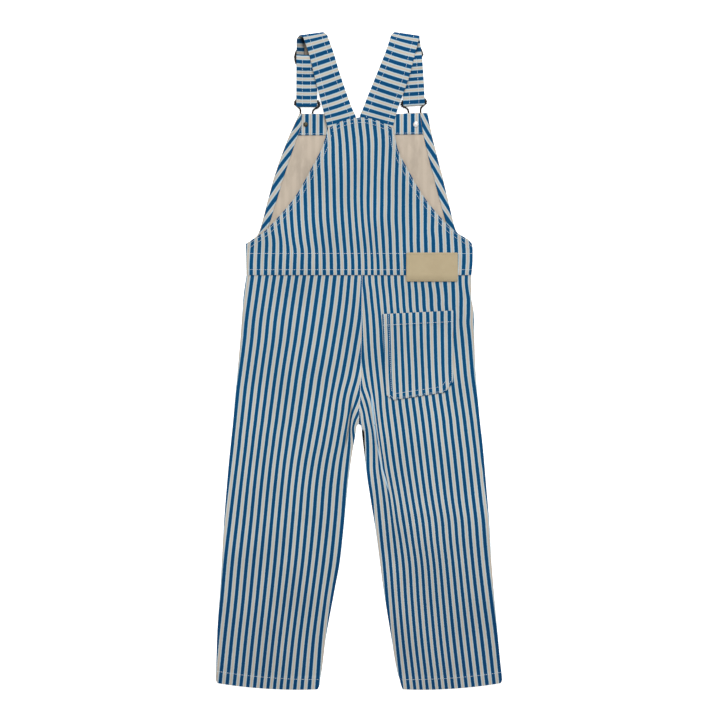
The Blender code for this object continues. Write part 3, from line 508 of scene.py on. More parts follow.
# Heights of the stripes on a strap's front part: above the slide, and from the clip upwards
DropStripes = namedtuple("DropStripes", "main back_up")
DROP_STRIPES = {
    "left": DropStripes(
        [416.7, 405.8, 397.4], [333.7, 343.5, 353.1, 362.6, 371.9, 380.4, 389.7, 397.4]
    ),
    "right": DropStripes(
        [416.0, 404.9, 394.2], [337.3, 348.0, 357.5, 367.1, 375.9, 385.2, 394.2, 404.9]
    ),
}

# Across a stripe, in stripes: how it wanders, its soft edge, its pale rim and what it tints
STRIPE_WANDER = 0.05
STRIPE_EDGE = 0.035
STRIPE_RIM = 0.10
STRIPE_SIDE = (0.09, 0.17)

# Heights in metres between which the cloth's colour changes, from the hems to the straps. The
# darker blue and cream towards the hems and the darker cream above the waist are painted shade,
# standing in for how the light falls along the garment
CREAM_COOLS = (-0.40, -0.14)
BLUE_DEEPENS = (-0.38, -0.05)
CREAM_DULLS = (-0.10, 0.06)
STRAPS_DEEPEN = (0.30, 0.37)

# Rows of stitches, as distances inside an edge
EDGE_ROWS = (2.0, 6.5)
WAIST_ROWS = (140.4, 119.4)
SEAM_ROWS = (2.0, 7.2)
POCKET_ROWS = (1.8, 8.0)
HEM_ROWS_UP = {"left": (15.4, 12.8), "right": (12.8, 14.0)}
SMALLEST_STITCH, LARGEST_STITCH = (0.86, 0.9, 0.9), (1.08, 1.12, 1.1)
STITCH_LIFT = 0.07
BIB_ROW_TOP_Y = 301.0
BIB_TOP_X, BIB_TOP_REACH = 1.8, 43.0
WAIST_ROW_ENDS = (-146.4, 145.2)
STRAP_GROOVE = 7.7
STRAP_ROWS = {"left": (7.5, 7.5), "right": (8.4, 7.4)}
DROP_ROWS = {"left": (7.9, 8.6), "right": (8.3, 7.7)}
FELLED_SEAM = 8.6
SEAM_SINK = 0.35
BAND_RAISE = 0.35
GROOVE_DEPTH = 0.22
GROOVE_WIDTH = 0.9


# --- Shapes ---


def ease(amount):
    amount = np.clip(amount, 0.0, 1.0)
    return amount * amount * (3 - 2 * amount)


def eased(stops, place):
    """The value at a place, easing from each stop (place, value) to the next."""
    if place <= stops[0][0]:
        return stops[0][1]
    for (start, low), (end, high) in zip(stops, stops[1:]):
        if place <= end:
            return low + (high - low) * float(ease((place - start) / (end - start)))
    return stops[-1][1]


def slopes_at(places, values):
    """Slopes that keep a cubic through the values from passing beyond them."""
    chords = np.diff(values, axis=0) / np.diff(places)[:, None]
    slopes = np.zeros_like(values)
    slopes[0], slopes[-1] = chords[0], chords[-1]
    before, after = chords[:-1], chords[1:]
    same = before * after > 0
    slopes[1:-1][same] = 2 * before[same] * after[same] / (before[same] + after[same])
    return slopes


def cubic(start, end, start_slope, end_slope, t):
    """A cubic from start to end, with slopes given for the whole span."""
    return (
        (1 + 2 * t) * (1 - t) ** 2 * start
        + t * (1 - t) ** 2 * start_slope
        + t * t * (3 - 2 * t) * end
        + t * t * (t - 1) * end_slope
    )


def filled_in(sections, pitch):
    """Rows between the sections, about a pitch apart, on smooth curves through them."""
    values = np.array(sections, float)
    ends = values[:, :4]
    places = np.concatenate([[0], np.cumsum(np.abs(np.diff(ends, axis=0)).max(axis=1))])
    slopes = slopes_at(places, values)
    rows = [values[0]]
    for i, span in enumerate(np.diff(places)):
        steps = max(1, round(span / pitch))
        for step in range(1, steps + 1):
            turn = (span * slopes[i], span * slopes[i + 1])
            rows.append(cubic(values[i], values[i + 1], *turn, step / steps))
    return rows


def crown(part):
    """An arch across a row: none at either end and 1 in the middle."""
    return 4 * part * (1 - part)


def spread(length, coarse, near_start=False, near_end=False):
    """Fractions of a length, coarse apart and closer beside a seam at either end."""
    places, place = [], 0.0
    while place < length:
        close = (near_start and place < SEAM_REACH) or (near_end and length - place < SEAM_REACH)
        place += SEAM_CLOTH if close else coarse
        if place < length - SEAM_CLOTH / 2:
            places.append(place / length)
    return np.array(places)


def curled_edge(radius, roll):
    """Places of a wall's outer face from its edge inwards: across, height and angle."""
    arc = radius * math.pi / 2
    roll = max(roll, 1e-3)
    bend = (arc - arc * np.arange(EDGE_STEPS + 1) / EDGE_STEPS) * roll / radius
    turn = radius / roll
    return turn * (math.sin(roll * math.pi / 2) - np.sin(bend)), turn * (1 - np.cos(bend)), bend


Row = namedtuple("Row", "left right arch power left_roll right_roll cloth depth")
Wall = namedtuple("Wall", "x y level from_left from_right")


def wall_row(row, columns):
    """A row's outer and inner places, each as x, y, level and distance from both ends."""
    left, right = np.array(row.left, float), np.array(row.right, float)
    width = np.linalg.norm(right - left)
    along = (right - left) / width
    radius = (row.depth - GAP) / 2
    a, h, b = curled_edge(radius, row.left_roll)
    c, k, d = curled_edge(radius, row.right_roll)
    flat = a[-1] + (width - c[-1] - a[-1]) * columns
    across = np.concatenate([a, flat, width - c[::-1]])
    height = np.concatenate([h, 0 * flat, k[::-1]])
    bend = np.concatenate([b, 0 * flat, -d[::-1]])
    faces = []
    for inset in (0.0, row.cloth):
        place = across + inset * np.sin(bend)
        level = np.minimum(height + inset * np.cos(bend), max(radius, row.cloth))
        x, y = left[0] + along[0] * place, left[1] + along[1] * place
        y = y + row.arch * crown(np.clip(place / width, 0, 1)) ** row.power
        faces.append((x, y, level, place, width - place))
    return faces


def wall_places(rows, columns, face):
    """A panel's outer (0) or inner (1) face before it is lifted, as grids of values."""
    made = [wall_row(row, columns)[face] for row in rows]
    return Wall(*(np.array([m[i] for m in made]) for i in range(5)))


def wall(rows, columns, lift, relief, is_back):
    """The outer and inner faces of a panel, as grids of points."""
    depth = np.array([row.depth for row in rows])[:, None]
    grids = []
    for face in (0, 1):
        w = wall_places(rows, columns, face)
        added = lift(w)
        out = relief(w) if relief and face == 0 else 0.0
        z = depth - w.level + added + out if is_back else w.level + added - out
        grids.append(np.stack([w.x, w.y, z], axis=-1))
    return grids


def nearest_on(line, x, y):
    """How far each place is from a line, and where along the line, from 0 to 1."""
    best, along = np.full(np.shape(x), 1e9), np.zeros(np.shape(x))
    parts = len(line) - 1
    for i in range(parts):
        (x0, y0), (x1, y1) = line[i], line[i + 1]
        dx, dy = x1 - x0, y1 - y0
        t = np.clip(((x - x0) * dx + (y - y0) * dy) / (dx * dx + dy * dy), 0, 1)
        distance = np.hypot(x - x0 - t * dx, y - y0 - t * dy)
        nearer = distance < best
        best = np.where(nearer, distance, best)
        along = np.where(nearer, (i + t) / parts, along)
    return best, along


def fold_height(fold, x, y):
    """How high a fold stands at each place. It fades out at both its ends."""
    line = [(fold.x_top, fold.y_top), (fold.x_mid, fold.y_mid), (fold.x_foot, fold.y_foot)]
    distance, along = nearest_on(line, x, y)
    across = 1 - ease(distance / fold.half_width)
    return fold.height * across * ease(4 * along) * ease(4 * (1 - along))


def waves_at(waves, x, y):
    total = 0.0
    for wave in waves:
        turn = math.radians(wave.turn)
        phase = (x * math.cos(turn) + y * math.sin(turn)) * math.tau / wave.length
        total = total + wave.height * np.sin(phase + wave.start)
    return total


def groove(distance):
    """The dent that a row of stitches pulls into the cloth."""
    return -GROOVE_DEPTH * np.exp(-((distance / GROOVE_WIDTH) ** 2))


def band(distance, width, soft=0.8):
    """How much of a place is on a doubled band of this width along an edge or seam."""
    return 1 - ease((distance - width + soft) / (2 * soft))


def leg_lift(side, x, y, inset):
    """How far a back leg stands above its flat height."""
    puff = PUFF * ease(inset / PUFF_FADE) * ease((PUFF_TOP_Y - y) / PUFF_RISE)
    folds = sum(fold_height(fold, x, y) for fold in LEG_FOLDS if fold.side == side)
    waves = waves_at(LEG_WAVES, x, y) * ease(inset / WAVE_FADE)
    waves = waves * ease((LEG_WAVES_TOP_Y - y) / 30)
    return puff + folds * ease(inset / FOLD_FADE) + waves


def leg_relief(side, w):
    """Seams, hems and creases on the face of a back leg."""
    inner = w.from_right if side == "left" else w.from_left
    above = ease((w.y - CROTCH_Y) / 6)
    total = sum(fold_height(fold, w.x, w.y) for fold in LEG_CREASES if fold.side == side)
    if side == "left":
        total = total + BAND_RAISE * band(inner, FELLED_SEAM) * above
        total = total + sum(groove(inner - row) for row in SEAM_ROWS) * above
    total = total - SEAM_SINK * (1 - ease((inner + 0.2) / 1.6)) * above
    hem, _ = nearest_on(hem_line(side), w.x, w.y)
    total = total + groove(hem)
    return total * ease((LEG_TOP_Y - w.y) / 3)


def leg_painted_light(side, w):
    """Painted shade in the creases and at the crotch seam, a painted highlight along a ridge, and a
    painted dark wedge at the inner seam edge.
    """
    tint = 1 + sum(fold_height(fold, w.x, w.y) for fold in LEG_PAINTED_LIGHT if fold.side == side)
    if side == "right":
        width = WEDGE_WIDTH * ease((w.y - WEDGE_FOOT_Y) / WEDGE_FADE)
        below = ease((WEDGE_TOP_Y - w.y) / 6)
        tint = tint * (1 - WEDGE_SHADE * below * band(w.from_left, width, 0.5) * (width > 0.3))
    return tint


def leg_rows(side, pitch):
    """The rows of one leg's walls, from the waist seam to the hem."""
    is_left = side == "left"
    rows = []
    for values in filled_in(LEG_SECTIONS, pitch):
        s = LegSection(*values)
        outer = (s.left_side if is_left else s.right_side, s.side_y)
        inner = (s.left_inner if is_left else s.right_inner, s.inner_y)
        ends = (outer, inner) if is_left else (inner, outer)
        rolls = (1.0, s.inseam) if is_left else (s.inseam, 1.0)
        rows.append(Row(*ends, -s.sag, 1, *rolls, s.cloth, s.depth))
    return rows


def back_leg_rows(side, pitch):
    """A leg's rows with the seam allowance that lies under the back bib."""
    rows = leg_rows(side, pitch)
    inset = TONGUE_INSET if side == "left" else -TONGUE_INSET
    (x_left, y), (x_right, _) = rows[0].left, rows[0].right
    ends = [x_left + inset, x_right] if side == "left" else [x_left, x_right + inset]
    flat = rows[0]._replace(left_roll=0.0, right_roll=0.0)
    tongue = [
        flat._replace(left=(ends[0], level), right=(ends[1], level))
        for level in (TONGUE_TOP_Y, y)
    ]
    rows[0] = rows[0]._replace(left=(x_left, y - WAIST_STEP), right=(x_right, y - WAIST_STEP))
    return tongue + rows


def hem_line(side):
    """The row of stitches above a leg's hem."""
    last = leg_rows(side, 1000)[-1]
    (x0, y0), (x1, y1) = last.left, last.right
    left_up, right_up = HEM_ROWS_UP[side]
    parts = np.linspace(0.0, 1.0, 13)
    xs = x0 + (x1 - x0) * parts
    ys = y0 + left_up + (y1 - y0 + right_up - left_up) * parts + 0.8 * last.arch * crown(parts)
    return list(zip(xs, ys))


def bib_rows(sections, pitch, power):
    rows = []
    for values in filled_in(sections, pitch):
        s = BibSection(*values)
        ends = ((s.left_x, s.left_y), (s.right_x, s.right_y))
        rows.append(Row(*ends, s.arch, power, s.seam, s.seam, CLOTH, BIB_DEPTH))
    return rows


def rise(y, height):
    return height * ease((y - RISE_FROM_Y) / (RISE_TO_Y - RISE_FROM_Y))


def edge_of(sections, side):
    """Where these sections end on one side, from top to bottom."""
    if side == "left":
        return [(s.left_x, s.left_y) for s in sections]
    return [(s.right_x, s.right_y) for s in sections]


def armhole_edge(side):
    """The back bib's edge round one armhole, from its top corner to the side seam."""
    rows = filled_in(BACK_BIB_SECTIONS[:ARMHOLE_ROWS], 8.0)
    return edge_of([BibSection(*values) for values in rows], side)


def top_edge():
    """The back bib's arched top edge, from left to right."""
    s = BACK_BIB_SECTIONS[0]
    parts = np.linspace(0.0, 1.0, 25)
    xs = s.left_x + (s.right_x - s.left_x) * parts
    ys = s.left_y + (s.right_y - s.left_y) * parts + s.arch * crown(parts)
    return list(zip(xs, ys))


def bib_edges():
    return [armhole_edge("left"), armhole_edge("right"), top_edge()]


def bib_relief(w):
    """The turned edges and the waistband on the face of the back bib."""
    edge = np.minimum.reduce([nearest_on(line, w.x, w.y)[0] for line in bib_edges()])
    total = BAND_RAISE * band(edge, EDGE_ROWS[1] + 1.0)
    total = total + sum(groove(edge - row) for row in EDGE_ROWS)
    total = total + sum(groove(w.y - row) for row in WAIST_ROWS)
    total = total + BAND_RAISE * ease((WAIST_ROWS[0] + 1.5 - w.y) / 1.6)
    return total - WAIST_FALL * (1 - ease((w.y - WAIST_Y) / 5.0))


def back_bib_lift(w):
    inset = np.minimum(w.from_left, w.from_right)
    waves = waves_at(BIB_WAVES, w.x, w.y) * ease(inset / WAVE_FADE)
    waves = waves * ease((w.y - BIB_WAVES_FOOT_Y) / 25)
    return rise(w.y, BACK_RISE) + fold_height(BIB_RIDGE, w.x, w.y) + waves


# --- Stripes ---


def stripe_at(grain, x, y):
    """Which stripe runs through each place: a whole number is the middle of a blue one."""
    table = np.array(grain.rows, float)
    places, values = -table[:, 0], table[:, 1:]
    slopes = np.gradient(values, places, axis=0)
    down = -np.asarray(y)
    i = np.clip(np.searchsorted(places, down) - 1, 0, len(places) - 2)
    span = (places[i + 1] - places[i])[..., None]
    t = (down - places[i])[..., None] / span
    inside = np.clip(t, 0, 1)
    lines = cubic(values[i], values[i + 1], span * slopes[i], span * slopes[i + 1], inside)
    lines = lines + (t - inside) * span * np.where(t > 1, slopes[i + 1], slopes[i])
    stripes = np.array(grain.stripes, float)
    k = np.clip((x[..., None] > lines).sum(axis=-1) - 1, 0, len(stripes) - 2)
    start = np.take_along_axis(lines, k[..., None], -1)[..., 0]
    end = np.take_along_axis(lines, k[..., None] + 1, -1)[..., 0]
    return stripes[k] + (x - start) / (end - start) * (stripes[k + 1] - stripes[k])


def with_halfway_stripe(grain):
    """A table with one more stripe, which is placed from the two on either side of it."""
    at = grain.stripes.index(HALFWAY_AFTER) + 1
    rows = []
    for y, *places in grain.rows:
        share = min(max((y - SHIFT_FROM_Y) / (SHIFT_TO_Y - SHIFT_FROM_Y), 0), 1)
        halfway = (places[at - 1] + places[at]) / 2 + HALFWAY_SHIFT * share
        rows.append((y, *places[:at], halfway, *places[at:]))
    return Grain((*grain.stripes[:at], HALFWAY_STRIPE, *grain.stripes[at:]), rows)


def stripe_across(crossing, parts, y):
    """Which stripe runs through each place of a strip, for columns at these fractions."""
    left, right = (
        np.array([v[0] + (v[0] - v[1]) * 2, *v, v[-1] + (v[-1] - v[-2]) * 4])
        for v in (crossing.left, crossing.right)
    )
    count = len(crossing.left)
    sag = np.array([crossing.sag[0], *crossing.sag, crossing.sag[-1]])
    stripes = np.array([-2, *range(count), count + 3], float)
    found = np.empty(np.shape(y))
    for column, part in enumerate(parts):
        line = left + (right - left) * part - sag * crown(part)
        found[:, column] = np.interp(-y[:, column], -line, stripes)
    return found


# --- Meshes ---


def shell_faces(rows, columns):
    """The four-sided faces of a closed shell between two grids, and which face them in."""
    at = np.arange(2 * rows * columns).reshape(2, rows, columns)
    top, low = at
    outer = [top[:-1, :-1], top[1:, :-1], top[1:, 1:], top[:-1, 1:]]
    inner = [low[:-1, :-1], low[:-1, 1:], low[1:, 1:], low[1:, :-1]]
    rims = [
        (top[:-1, 0], low[:-1, 0], low[1:, 0], top[1:, 0]),
        (low[:-1, -1], top[:-1, -1], top[1:, -1], low[1:, -1]),
        (low[0, :-1], top[0, :-1], top[0, 1:], low[0, 1:]),
        (top[-1, :-1], low[-1, :-1], low[-1, 1:], top[-1, 1:]),
    ]
    outer = np.stack([f.ravel() for f in outer], axis=1)
    inner = np.stack([f.ravel() for f in inner], axis=1)
    rims = np.concatenate([np.stack(rim, axis=1) for rim in rims])
    inside = np.zeros(len(outer) + len(inner) + len(rims), int)
    inside[len(outer) : len(outer) + len(inner)] = 1
    return np.concatenate([outer, inner, rims]), inside


def linked(name, data):
    """An object in the scene that holds this mesh, lamp or camera."""
    thing = bpy.data.objects.new(name, data)
    bpy.context.scene.collection.objects.link(thing)
    return thing


def shell_object(name, outer, inner, grain, materials, tint=None, painted_shade_faces=None):
    """A closed cloth piece between two grids of points.

    Its UV map Grain follows the cloth, and a point attribute of painted light darkens the colour
    where shade is painted and pales it where highlights are painted.
    Inner faces where the last argument is true take the third material, which paints shade.
    """
    rows, columns = outer.shape[:2]
    points = np.concatenate([outer.reshape(-1, 3), inner.reshape(-1, 3)]) * MM
    faces, inside = shell_faces(rows, columns)
    inside = inside.astype(np.int32)
    if painted_shade_faces is not None:
        count = (rows - 1) * (columns - 1)
        inside[count : 2 * count][painted_shade_faces[:-1, :-1].ravel()] = 2
    a, b, c, d = (points[faces[:, i]] for i in range(4))
    if np.einsum("ij,ij->i", a + c, np.cross(c - a, d - b)).sum() < 0:
        faces = faces[:, ::-1]
    mesh = bpy.data.meshes.new(name)
    mesh.from_pydata(points, [], faces.tolist())
    layer = mesh.uv_layers.new(name="Grain")
    around = np.tile(grain.reshape(-1, 2), (2, 1))
    layer.data.foreach_set("uv", around[faces.ravel()].ravel().astype(np.float32))
    mesh.polygons.foreach_set("material_index", inside)
    tints = np.ones(outer.shape[:2]) if tint is None else tint
    attribute = mesh.attributes.new("Tint", "FLOAT", "POINT")
    both_faces = np.broadcast_to(tints, (2, rows, columns))
    attribute.data.foreach_set("value", both_faces.ravel().astype(np.float32))
    for material in materials:
        mesh.materials.append(material)
    mesh.shade_smooth()
    mesh.set_sharp_from_angle(angle=math.radians(50))
    mesh.update()
    return linked(name, mesh)


def plain_object(name, points, faces, material):
    mesh = bpy.data.meshes.new(name)
    mesh.from_pydata([tuple(MM * v for v in p) for p in points], [], faces)
    mesh.materials.append(material)
    mesh.shade_smooth()
    mesh.set_sharp_from_angle(angle=math.radians(38))
    return linked(name, mesh)


def lines_object(name, lines):
    """An object that holds lines of points, each closed where its last point is its first."""
    points, edges = [], []
    for line in lines:
        line = [tuple(MM * float(v) for v in p) for p in line]
        closed = math.dist(line[0], line[-1]) < 1e-7
        start, count = len(points), len(line) - closed
        points += line[:count]
        edges += [(start + i, start + i + 1) for i in range(count - 1)]
        if closed:
            edges.append((start + count - 1, start))
    mesh = bpy.data.meshes.new(name)
    mesh.from_pydata(points, edges, [])
    return linked(name, mesh)


def finished(thing):
    """The evaluated object as a plain mesh, with no modifiers left."""
    bpy.context.view_layer.update()
    graph = bpy.context.evaluated_depsgraph_get()
    mesh = bpy.data.meshes.new_from_object(thing.evaluated_get(graph))
    thing.modifiers.clear()
    old, thing.data = thing.data, mesh
    mesh.name = thing.name
    bpy.data.meshes.remove(old)
    if not len(mesh.polygons):
        raise RuntimeError(f"{thing.name} came out with no faces")
    return thing


def add_tree(name, inputs):
    """A geometry tree with these named inputs, as (name, socket kind, default)."""
    tree = bpy.data.node_groups.new(name, "GeometryNodeTree")
    face = tree.interface
    face.new_socket("Geometry", in_out="INPUT", socket_type="NodeSocketGeometry")
    for label, kind, default in inputs:
        socket = face.new_socket(label, in_out="INPUT", socket_type=kind)
        if default is not None:
            socket.default_value = default
    face.new_socket("Geometry", in_out="OUTPUT", socket_type="NodeSocketGeometry")
    return tree


def give(tree, node, values):
    """Each value goes to the node's socket of this name or number, or is linked to it."""
    for key, value in values.items():
        socket = node.inputs[key]
        if isinstance(value, bpy.types.NodeSocket):
            tree.links.new(value, socket)
        elif socket.type == "RGBA" and len(value) == 3:
            socket.default_value = (*value, 1.0)
        else:
            socket.default_value = value
    return node


def add_node(tree, kind, values=None, **settings):
    """A node with its settings and the values of its sockets."""
    node = tree.nodes.new(kind)
    for key, value in settings.items():
        setattr(node, key, value)
    return give(tree, node, values or {})


def closed_tree(tree, shapes, finish):
    """Ends a geometry tree with real, smooth shapes in this finish."""
    real = add_node(tree, "GeometryNodeRealizeInstances", {"Geometry": shapes})
    smooth = add_node(tree, "GeometryNodeSetShadeSmooth", {"Geometry": real.outputs[0]})
    values = {"Geometry": smooth.outputs[0], "Material": finish}
    done = add_node(tree, "GeometryNodeSetMaterial", values)
    add_node(tree, "NodeGroupOutput", {"Geometry": done.outputs[0]})
    return tree


def stitch_tree():
    """Puts one rounded stitch after another along the lines of a mesh."""
    tree = add_tree(
        "stitch_rows",
        [
            ("Stitch length", "NodeSocketFloat", 0.0026),
            ("Thread width", "NodeSocketFloat", 0.00055),
            ("Thread height", "NodeSocketFloat", 0.0004),
            ("Spacing", "NodeSocketFloat", 0.0034),
            ("Seed", "NodeSocketInt", 7),
            ("Thread", "NodeSocketMaterial", None),
        ],
    )
    given = add_node(tree, "NodeGroupInput").outputs
    curve = add_node(tree, "GeometryNodeMeshToCurve", {"Mesh": given["Geometry"]})
    even = add_node(
        tree,
        "GeometryNodeResampleCurve",
        {"Curve": curve.outputs[0], "Length": given["Spacing"]},
        mode="LENGTH",
    )
    ball = add_node(
        tree, "GeometryNodeMeshUVSphere", {"Segments": 6, "Rings": 4, "Radius": 0.5}
    )
    size = add_node(
        tree,
        "ShaderNodeCombineXYZ",
        {"X": given["Stitch length"], "Y": given["Thread width"], "Z": given["Thread height"]},
    )
    stitch = add_node(
        tree,
        "GeometryNodeTransform",
        {"Geometry": ball.outputs["Mesh"], "Scale": size.outputs[0]},
    )
    tangent = add_node(tree, "GeometryNodeInputTangent")
    along = add_node(
        tree, "FunctionNodeAlignRotationToVector", {"Vector": tangent.outputs[0]}, axis="X"
    )
    upright = add_node(
        tree,
        "FunctionNodeAlignRotationToVector",
        {"Rotation": along.outputs[0], "Vector": (0.0, 0.0, 1.0)},
        axis="Z",
        pivot_axis="X",
    )
    vary = add_node(
        tree,
        "FunctionNodeRandomValue",
        {0: SMALLEST_STITCH, 1: LARGEST_STITCH, "Seed": given["Seed"]},
        data_type="FLOAT_VECTOR",
    )
    placed = add_node(
        tree,
        "GeometryNodeInstanceOnPoints",
        {
            "Points": even.outputs[0],
            "Instance": stitch.outputs[0],
            "Rotation": upright.outputs[0],
            "Scale": vary.outputs[0],
        },
    )
    return closed_tree(tree, placed.outputs[0], given["Thread"])


def wire_tree():
    """Sweeps a round wire along the lines of a mesh."""
    tree = add_tree(
        "bent_wire",
        [
            ("Radius", "NodeSocketFloat", 0.001),
            ("Sides", "NodeSocketInt", 14),
            ("Metal", "NodeSocketMaterial", None),
        ],
    )
    given = add_node(tree, "NodeGroupInput").outputs
    curve = add_node(tree, "GeometryNodeMeshToCurve", {"Mesh": given["Geometry"]})
    ring = add_node(
        tree,
        "GeometryNodeCurvePrimitiveCircle",
        {"Resolution": given["Sides"], "Radius": given["Radius"]},
    )
    swept = add_node(
        tree,
        "GeometryNodeCurveToMesh",
        {"Curve": curve.outputs[0], "Profile Curve": ring.outputs[0], "Fill Caps": True},
    )
    return closed_tree(tree, swept.outputs[0], given["Metal"])


def grown(name, lines, make_tree, values):
    """A piece that a tree grows along lines of points, as a plain mesh."""
    thing = lines_object(name, lines)
    tree = bpy.data.node_groups.get(make_tree.__name__) or make_tree()
    tree.name = make_tree.__name__
    modifier = thing.modifiers.new(tree.name, "NODES")
    modifier.node_group = tree
    for item in tree.interface.items_tree:
        if item.item_type == "SOCKET" and item.in_out == "INPUT" and item.name in values:
            modifier[item.identifier] = values[item.name]
    return finished(thing)


def dressed(piece, slot, *nodes):
    """Says what a piece rides on and hides the parts it stands for. Its slot is not used."""
    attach(piece, "root")
    if nodes:
        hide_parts(*nodes)
    return piece


# --- Finishes ---


def new_material(name):
    """A material with its node tree and its shader."""
    material = bpy.data.materials.new(name)
    material.use_nodes = True
    return material, material.node_tree, material.node_tree.nodes["Principled BSDF"]


def mixed(tree, factor, first, second, blend="MIX"):
    node = add_node(tree, "ShaderNodeMix", data_type="RGBA", blend_type=blend)
    return give(tree, node, {0: factor, 6: first, 7: second}).outputs[2]


def sum_of(tree, kind, first, second=0.0, third=0.0):
    """A sum of this kind over up to three numbers or sockets."""
    values = {0: first, 1: second, 2: third}
    return add_node(tree, "ShaderNodeMath", values, operation=kind).outputs[0]


def ramp(tree, value, low, high, start=0.0, end=1.0):
    """A number eased from start to end as the value goes from low to high."""
    return add_node(
        tree,
        "ShaderNodeMapRange",
        {"Value": value, "From Min": low, "From Max": high, "To Min": start, "To Max": end},
        interpolation_type="SMOOTHSTEP",
    ).outputs["Result"]


def noise(tree, where, scale, detail=3.0, rough=0.6):
    return add_node(
        tree,
        "ShaderNodeTexNoise",
        {"Vector": where, "Scale": scale, "Detail": detail, "Roughness": rough},
    ).outputs["Fac"]


def stretched(tree, where, scale):
    return add_node(
        tree, "ShaderNodeMapping", {"Vector": where, "Scale": scale}
    ).outputs["Vector"]


def from_stripe(tree, across, shift):
    """How far each place is from the middle of the nearest blue stripe, in stripes."""
    turn = sum_of(tree, "FRACT", sum_of(tree, "ADD", across, shift))
    return sum_of(tree, "ABSOLUTE", sum_of(tree, "SUBTRACT", turn, 0.5))


def striped_denim(cloth):
    """Blue and cream stripes woven along the cloth, with slubs, wear and a fine twill."""
    material, tree, shader = new_material("striped_denim")
    grain = add_node(tree, "ShaderNodeUVMap", uv_map="Grain").outputs[0]
    place = add_node(tree, "ShaderNodeTexCoord").outputs["Object"]
    across = add_node(tree, "ShaderNodeSeparateXYZ", {"Vector": grain}).outputs[0]
    height = add_node(tree, "ShaderNodeSeparateXYZ", {"Vector": place}).outputs[1]
    wander = noise(tree, place, 420.0, 2.0)
    shifted = sum_of(tree, "MULTIPLY_ADD", wander, STRIPE_WANDER, across)
    away = from_stripe(tree, shifted, 0.5 - STRIPE_WANDER / 2)
    half = cloth.stripe_share / 2
    is_blue = ramp(tree, away, half - STRIPE_EDGE, half + STRIPE_EDGE, 1.0, 0.0)
    threads = noise(tree, stretched(tree, grain, (14.0, 0.9, 1.0)), 1.6, 4.0, 0.7)
    specks = noise(tree, stretched(tree, grain, (9.0, 7.0, 1.0)), 1.9, 3.0, 0.7)
    patches = noise(tree, place, 14.0, 2.0, 0.5)
    pale_fleck = ramp(tree, threads, 0.52, 0.72, 0.0, 0.34)
    # Painted shade: the blue and the cream darken towards the hems, and the cream darkens above the
    # waist
    shaded_low = ramp(tree, height, *BLUE_DEEPENS, 1.0, 0.0)
    blue = mixed(tree, shaded_low, cloth.blue, cloth.deep_blue)
    on_straps = ramp(tree, height, *STRAPS_DEEPEN, 0.0, 0.45)
    blue = mixed(tree, on_straps, blue, cloth.deep_blue)
    blue = mixed(tree, pale_fleck, blue, cloth.faded_blue)
    speckle = ramp(tree, specks, 0.55, 0.75, 0.0, 0.30)
    blue = mixed(tree, speckle, blue, cloth.faded_blue)
    rim = ramp(tree, away, half - STRIPE_RIM, half - 0.01, 0.0, 0.55)
    blue = mixed(tree, rim, blue, cloth.rim_blue)
    dull = ramp(tree, specks, 0.35, 0.65, 0.30, 0.0)
    cream = mixed(tree, dull, cloth.cream, cloth.grey_cream)
    beside_blue = ramp(tree, away, *(half + side for side in STRIPE_SIDE), 1.0, 0.0)
    cream = mixed(tree, beside_blue, cream, cloth.pale_blue)
    upper = ramp(tree, height, *CREAM_DULLS)
    cream = mixed(tree, upper, cream, cloth.upper_cream, "MULTIPLY")
    low = ramp(tree, height, *CREAM_COOLS, 1.0, 0.0)
    cream = mixed(tree, low, cream, cloth.low_cream, "MULTIPLY")
    colour = mixed(tree, is_blue, cream, blue)
    shade = ramp(tree, patches, 0.25, 0.75, 0.93, 1.06)
    # The point attribute carries painted light: below 1 it darkens the colour as painted shade,
    # above 1 it pales it as a painted highlight
    tint = add_node(tree, "ShaderNodeAttribute", attribute_name="Tint").outputs["Fac"]
    # Painted highlight: where the painted-light attribute is above 1, the colour pales towards the
    # ridge highlight colour
    highlit = ramp(tree, tint, 1.02, 1.5, 0.0, 1.0)
    colour = mixed(tree, highlit, colour, cloth.ridge_highlight)
    shade = sum_of(tree, "MULTIPLY", shade, ramp(tree, tint, 0.0, 1.0, 0.0, 1.0))
    colour = mixed(tree, 1.0, colour, add_grey(tree, shade), "MULTIPLY")
    weave = noise(tree, stretched(tree, grain, (16.0, 9.0, 1.0)), 2.2, 2.0, 0.6)
    bump = add_node(
        tree, "ShaderNodeBump", {"Strength": 0.35, "Distance": 0.0003, "Height": weave}
    )
    give(
        tree,
        shader,
        {
            "Base Color": colour,
            "Normal": bump.outputs[0],
            "Roughness": cloth.roughness,
            "Specular IOR Level": 0.06,
            "Sheen Weight": 0.02,
            "Sheen Roughness": 0.5,
        },
    )
    return material


def add_grey(tree, value):
    return add_node(
        tree, "ShaderNodeCombineColor", {"Red": value, "Green": value, "Blue": value}
    ).outputs[0]


